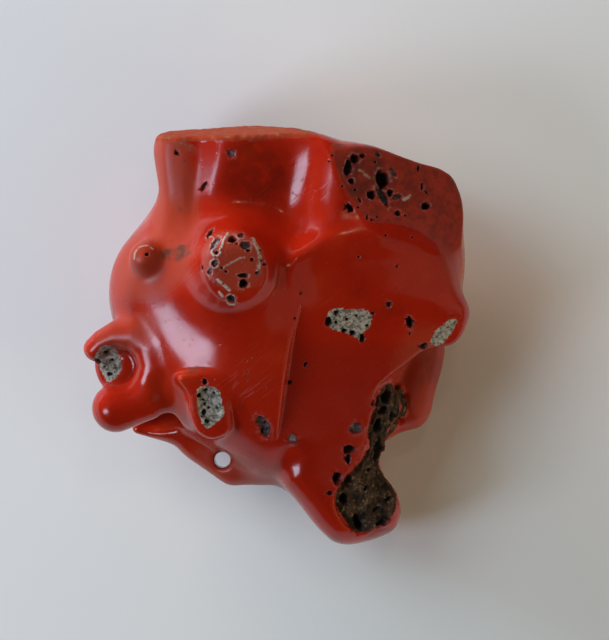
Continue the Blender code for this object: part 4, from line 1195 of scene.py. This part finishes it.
def coral_colour(recipe, place, marks, finish):
    """The layers of colour, from the polished red up."""
    colour = polished_red(recipe, place, finish)
    colour = recipe.mix(dust(recipe, place) * 0.35, colour, DUST_PALE)
    # Painted shade: the ground facet is darkened towards the deep red
    colour = recipe.mix(marks["facet"] * 0.6, colour, finish.deep_red)
    # Painted light: ridges lighten to orange as a painted highlight, hollows darken as painted shade
    colour = recipe.mix(marks["ridge"] * 0.7, colour, finish.orange_red)
    colour = recipe.mix(marks["hollow"] * 0.55, colour, finish.painted_shade_red)
    colour = recipe.mix(marks["scuff"] * 0.12, colour, finish.orange_red)
    # Painted sheen: on the dull spots, pink and orange stand in for the sheen of the pale floor and walls
    painted_sheen = recipe.mix(recipe.cloud(place, 2.4, 3.0), SHEEN_PINK, SHEEN_ORANGE)
    colour = recipe.mix(marks["dull"] * 0.5, colour, painted_sheen)
    colour = recipe.mix(pricks(recipe, place) * marks["scuff"] * 0.6, colour, finish.stain_brown)
    colour = recipe.mix(marks["worn"] * 0.55, colour, WORN_RED)
    colour = recipe.mix(marks["sawn"], colour, sawn_red(recipe, place, finish))
    # Painted shade: the dark spots darken the red
    deep = marks["dark"] * recipe.blotches(place, 1.8, 0.3, 0.6, 3.0) * 0.75
    colour = recipe.mix(deep, colour, finish.painted_shade_red)
    colour = recipe.mix(marks["stain"] * 0.85, colour, finish.stain_brown)
    colour = recipe.mix(marks["lime"], colour, lime_colour(recipe, place, finish))
    # Painted shade: the crust darkens where it is sunken
    crust = recipe.mix(marks["sunken"], crust_colour(recipe, place, finish), finish.crust_dark_and_shade)
    colour = recipe.mix(marks["crust"], colour, crust)
    chipped = recipe.mix(recipe.blotches(place, 0.9, 0.48, 0.72, 4.0, 0.7), CHIP_RED, CHIP_TAN)
    colour = recipe.mix(marks["broken"], colour, chipped)
    colour = recipe.mix(marks["rim"], colour, RIM_PALE)
    worm = recipe.mix(marks["worm"], WORM_BROWN, WORM_PALE)
    colour = recipe.mix(recipe.ramp(marks["worm"], 0.1, 0.6), colour, worm)
    return recipe.mix(marks["pit"], colour, pit_colour(recipe, place, marks["pale_pit"]))


def coral_roughness(recipe, place, marks, lines, finish):
    """Glossy where polished, dull where sawn, dusty where crusted."""
    gloss = finish.polish_roughness + (recipe.cloud(place, 1.5, 3.0) - 0.5) * 0.08
    gloss = gloss + marks["facet"] * 0.07
    gloss = gloss + lines * (marks["scuff"] * 0.3 + 0.05) + marks["scuff"] * 0.07
    gloss = gloss + marks["dull"] * 0.26
    gloss = recipe.blend(marks["worn"] * 0.6, gloss, 0.42)
    gloss = recipe.blend(marks["sawn"], gloss, recipe.cloud(place, 0.8, 3.0) * 0.3 + 0.28)
    gloss = recipe.blend(marks["stain"] * 0.7, gloss, 0.6)
    gloss = recipe.blend(recipe.ramp(marks["worm"], 0.1, 0.5), gloss, 0.55)
    gloss = recipe.blend(marks["lime"], gloss, 0.93)
    gloss = recipe.blend(marks["broken"], gloss, 0.9)
    gloss = recipe.blend(marks["crust"], gloss, 0.96)
    return recipe.blend(marks["pit"], gloss, 0.75).at_most(1.0).at_least(0.05)


def coral_height(recipe, place, marks, lines):
    """Fine relief in millimetres, on top of the shape's own."""
    height = (recipe.cloud(place, 0.9, 2.0) - 0.5) * 0.006 - lines * (marks["scuff"] * 0.022 + 0.001)
    height = height - pricks(recipe, place) * (marks["scuff"] * 0.05 + 0.01)
    height = height + marks["sawn"] * (recipe.cloud(place, 0.2, 4.0, 0.6) - 0.5) * 0.1
    height = height + marks["worn"] * (recipe.cloud(place, 0.4, 4.0, 0.6) - 0.5) * 0.12
    height = height + marks["lime"] * (recipe.cloud(place, 0.25, 4.0, 0.7) - 0.5) * 0.3
    return height + marks["crust"] * (recipe.cloud(place, 0.35, 5.0, 0.7) - 0.5) * 0.5


def coral_skin(finish):
    """Polished precious coral with everything that mars it."""
    recipe = Recipe("coral_skin")
    place = recipe.millimetres()
    marks = frayed_edges(recipe, place, {name: recipe.attribute(name) for name in MARK_NAMES})
    lines = scratches(recipe, place, 40.0, 0.2)
    recipe.feed(recipe.shader.inputs["Base Color"], coral_colour(recipe, place, marks, finish))
    recipe.feed(recipe.shader.inputs["Roughness"], coral_roughness(recipe, place, marks, lines, finish))
    height = coral_height(recipe, place, marks, lines)
    relief = recipe.node("ShaderNodeBump", None, {"Height": height, "Distance": MM, "Strength": 1.0})
    recipe.feed(recipe.shader.inputs["Normal"], relief)
    recipe.feed(recipe.shader.inputs["Subsurface Weight"], 0.12)
    recipe.feed(recipe.shader.inputs["Subsurface Radius"], (1.0, 0.2, 0.1))
    recipe.feed(recipe.shader.inputs["Subsurface Scale"], 0.0012)
    return recipe.material


def paper_floor(studio):
    """Matt paper with a barely visible tooth."""
    recipe = Recipe("pale_paper")
    place = recipe.millimetres()
    tooth = recipe.cloud(place, 0.8, 3.0)
    shade = [part * 0.97 for part in studio.floor_colour]
    tone = recipe.mix(recipe.cloud(place, 90.0, 1.0), studio.floor_colour, shade)
    recipe.feed(recipe.shader.inputs["Base Color"], tone)
    recipe.feed(recipe.shader.inputs["Roughness"], 0.7)
    relief = recipe.node("ShaderNodeBump", None, {"Height": tooth, "Distance": 0.01 * MM, "Strength": 1.0})
    recipe.feed(recipe.shader.inputs["Normal"], relief)
    return recipe.material


def square_mesh(name, side):
    bm = bmesh.new()
    bmesh.ops.create_grid(bm, x_segments=1, y_segments=1, size=side / 2)
    mesh = bpy.data.meshes.new(name)
    bm.to_mesh(mesh)
    bm.free()
    return mesh


def area_light(name, azimuth, elevation, away, size, power, colour):
    """A soft light that looks at the coral: azimuth in degrees from the x axis towards the back."""
    light = bpy.data.lights.new(name, "AREA")
    light.shape = "RECTANGLE"
    light.size, light.size_y = size
    light.energy = power
    light.color = colour
    lamp = new_object(name, light)
    turn, rise = math.radians(azimuth), math.radians(elevation)
    level, up = math.cos(rise), math.sin(rise)
    target = Vector((0.0, 0.0, LOOK_HEIGHT))
    lamp.location = target + away * Vector((level * math.cos(turn), level * math.sin(turn), up))
    lamp.rotation_euler = (target - lamp.location).to_track_quat("-Z", "Y").to_euler()
    return lamp


def overhead_camera(studio):
    """The camera straight above, framed so that a pixel is PIXEL wide at the coral's middle height."""
    camera = bpy.data.cameras.new("overhead_camera")
    camera.sensor_width = SENSOR_WIDTH
    camera.lens = SENSOR_WIDTH * (studio.camera_height - LOOK_HEIGHT) / (PHOTO_HIGH * PIXEL)
    placed = new_object("overhead_camera", camera)
    placed.location = (*FRAME_MIDDLE, studio.camera_height)
    bpy.context.scene.camera = placed


class SkinSettings(bpy.types.PropertyGroup):
    """Sizes of the coral's skin."""

    skin_step: bpy.props.FloatProperty(
        name="Skin step", description="Width of the skin's squares away from any detail",
        default=FUSE_VOXEL * MM, min=0.3 * MM, max=2 * MM, precision=5, unit="LENGTH", subtype="DISTANCE",
    )
    detail_depth: bpy.props.FloatProperty(
        name="Detail depth", description="How deep pores and crusts go, as a share of their real depth",
        default=1.0, min=0.0, max=1.5, subtype="FACTOR",
    )


def colour_setting(label, description, default):
    return bpy.props.FloatVectorProperty(
        name=label, description=description, default=default, size=3, min=0.0, max=1.0, subtype="COLOR"
    )


class FinishSettings(bpy.types.PropertyGroup):
    """Colours and gloss of the coral."""

    # Deep red also darkens the ground facet as painted shade
    deep_red: colour_setting("Deep red", "Darkest clouds of the polished coral", (0.26, 0.008, 0.002))
    coral_red: colour_setting("Coral red", "Most of the polished coral", (0.36, 0.012, 0.003))
    # Orange red also lightens the ridges as a painted highlight
    orange_red: colour_setting("Orange red", "Lightest clouds and edges of the coral", (0.47, 0.034, 0.006))
    sawn_red: colour_setting("Sawn red", "The dull sawn face", (0.32, 0.022, 0.008))
    lime_pale: colour_setting("Pale lime", "Raised grains of the lime patches", (0.5, 0.44, 0.36))
    lime_dark: colour_setting("Dark lime", "Hollows of the lime patches", (0.1, 0.082, 0.064))
    # Dark crust: the crust's dark streaks, and painted shade in its sunken places
    crust_dark_and_shade: colour_setting("Dark crust", "Hollows of the brown crust", (0.01, 0.006, 0.004))
    crust_brown: colour_setting("Brown crust", "Most of the brown crust", (0.085, 0.043, 0.02))
    crust_tan: colour_setting("Tan crust", "Crumbs on the brown crust", (0.34, 0.21, 0.11))
    # Painted shade: this red darkens the hollows and the dark spots
    painted_shade_red: colour_setting("Dirty red", "Hollows of the polished coral", (0.09, 0.007, 0.003))
    stain_brown: colour_setting("Brown stain", "Dirt worked into the skin", (0.055, 0.028, 0.016))
    polish_roughness: bpy.props.FloatProperty(
        name="Polish roughness", description="Roughness of the polished coral",
        default=0.17, min=0.05, max=0.6, subtype="FACTOR",
    )


def power_setting(label, description, default):
    return bpy.props.FloatProperty(
        name=label, description=description, default=default, min=0.0, unit="POWER"
    )


class StudioSettings(bpy.types.PropertyGroup):
    """The floor, the lights and the camera."""

    floor_colour: colour_setting("Floor", "Colour of the paper", (0.8, 0.8, 0.79))
    camera_height: bpy.props.FloatProperty(
        name="Camera height", description="Height of the camera above the floor",
        default=0.6, min=0.2, max=2.0, unit="LENGTH", subtype="DISTANCE",
    )
    key_power: power_setting("Key power", "Power of the broad light from the left", 0.76)
    window_power: power_setting("Window power", "Power of the window seen in the polish", 0.95)
    low_power: power_setting("Low light power", "Power of the low lights round the coral", 2.3)
    fill_power: power_setting("Fill power", "Power of the warm light from the right", 0.3)
    lamp_power: power_setting("Lamp power", "Power of the warm lamp behind", 0.12)


class CORAL_BRANCH_OT_coral(bpy.types.Operator):
    """Grow the coral branch base with its pores, crusts and polish"""

    bl_idname = "coral_branch.coral"
    bl_label = "Coral"

    def execute(self, context):
        mesh = coral_mesh(context.scene.coral_skin)
        if not mesh.polygons:
            raise RuntimeError("the coral's skin has no faces")
        mesh.materials.append(coral_skin(context.scene.coral_finish))
        coral_piece = new_object("coral_branch_base", mesh)
        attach(coral_piece, "root")
        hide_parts(*CAD_NODES)
        return {"FINISHED"}


class CORAL_BRANCH_OT_stage(bpy.types.Operator):
    """Lay the pale floor and set the lights and the camera"""

    bl_idname = "coral_branch.stage"
    bl_label = "Stage"

    def execute(self, context):
        studio = context.scene.coral_studio
        floor = new_object("floor", square_mesh("floor", FLOOR_SIDE))
        floor.data.materials.append(paper_floor(studio))
        for name, azimuth, elevation, away, size, power, share, colour, mirrored in LIGHTS:
            light = area_light(name, azimuth, elevation, away, size, share * getattr(studio, power), colour)
            light.visible_glossy = mirrored
        world = bpy.data.worlds.new("dim_room")
        world.use_nodes = True
        world.node_tree.nodes["Background"].inputs["Color"].default_value = (*ROOM_COLOUR, 1.0)
        world.node_tree.nodes["Background"].inputs["Strength"].default_value = ROOM_STRENGTH
        context.scene.world = world
        context.scene.view_settings.view_transform = "Standard"
        overhead_camera(studio)
        return {"FINISHED"}


class CORAL_BRANCH_PT_panel(bpy.types.Panel):
    """The coral branch's pieces and settings"""

    bl_label = "Red Coral Branch"
    bl_idname = "CORAL_BRANCH_PT_panel"
    bl_space_type = "VIEW_3D"
    bl_region_type = "UI"
    bl_category = "Coral"

    def draw(self, context):
        for group in (context.scene.coral_skin, context.scene.coral_finish, context.scene.coral_studio):
            box = self.layout.box()
            for name in group.__annotations__:
                box.prop(group, name)
        for operator in OPERATORS:
            self.layout.operator(operator.bl_idname)


OPERATORS = (CORAL_BRANCH_OT_coral, CORAL_BRANCH_OT_stage)
CLASSES = (SkinSettings, FinishSettings, StudioSettings, *OPERATORS, CORAL_BRANCH_PT_panel)


def register():
    for made in CLASSES:
        bpy.utils.register_class(made)
    bpy.types.Scene.coral_skin = bpy.props.PointerProperty(type=SkinSettings)
    bpy.types.Scene.coral_finish = bpy.props.PointerProperty(type=FinishSettings)
    bpy.types.Scene.coral_studio = bpy.props.PointerProperty(type=StudioSettings)


def unregister():
    del bpy.types.Scene.coral_studio
    del bpy.types.Scene.coral_finish
    del bpy.types.Scene.coral_skin
    for made in reversed(CLASSES):
        bpy.utils.unregister_class(made)


def main():
    register()
    bpy.ops.coral_branch.coral()
    bpy.ops.coral_branch.stage()


if __name__ == "__main__":
    main()
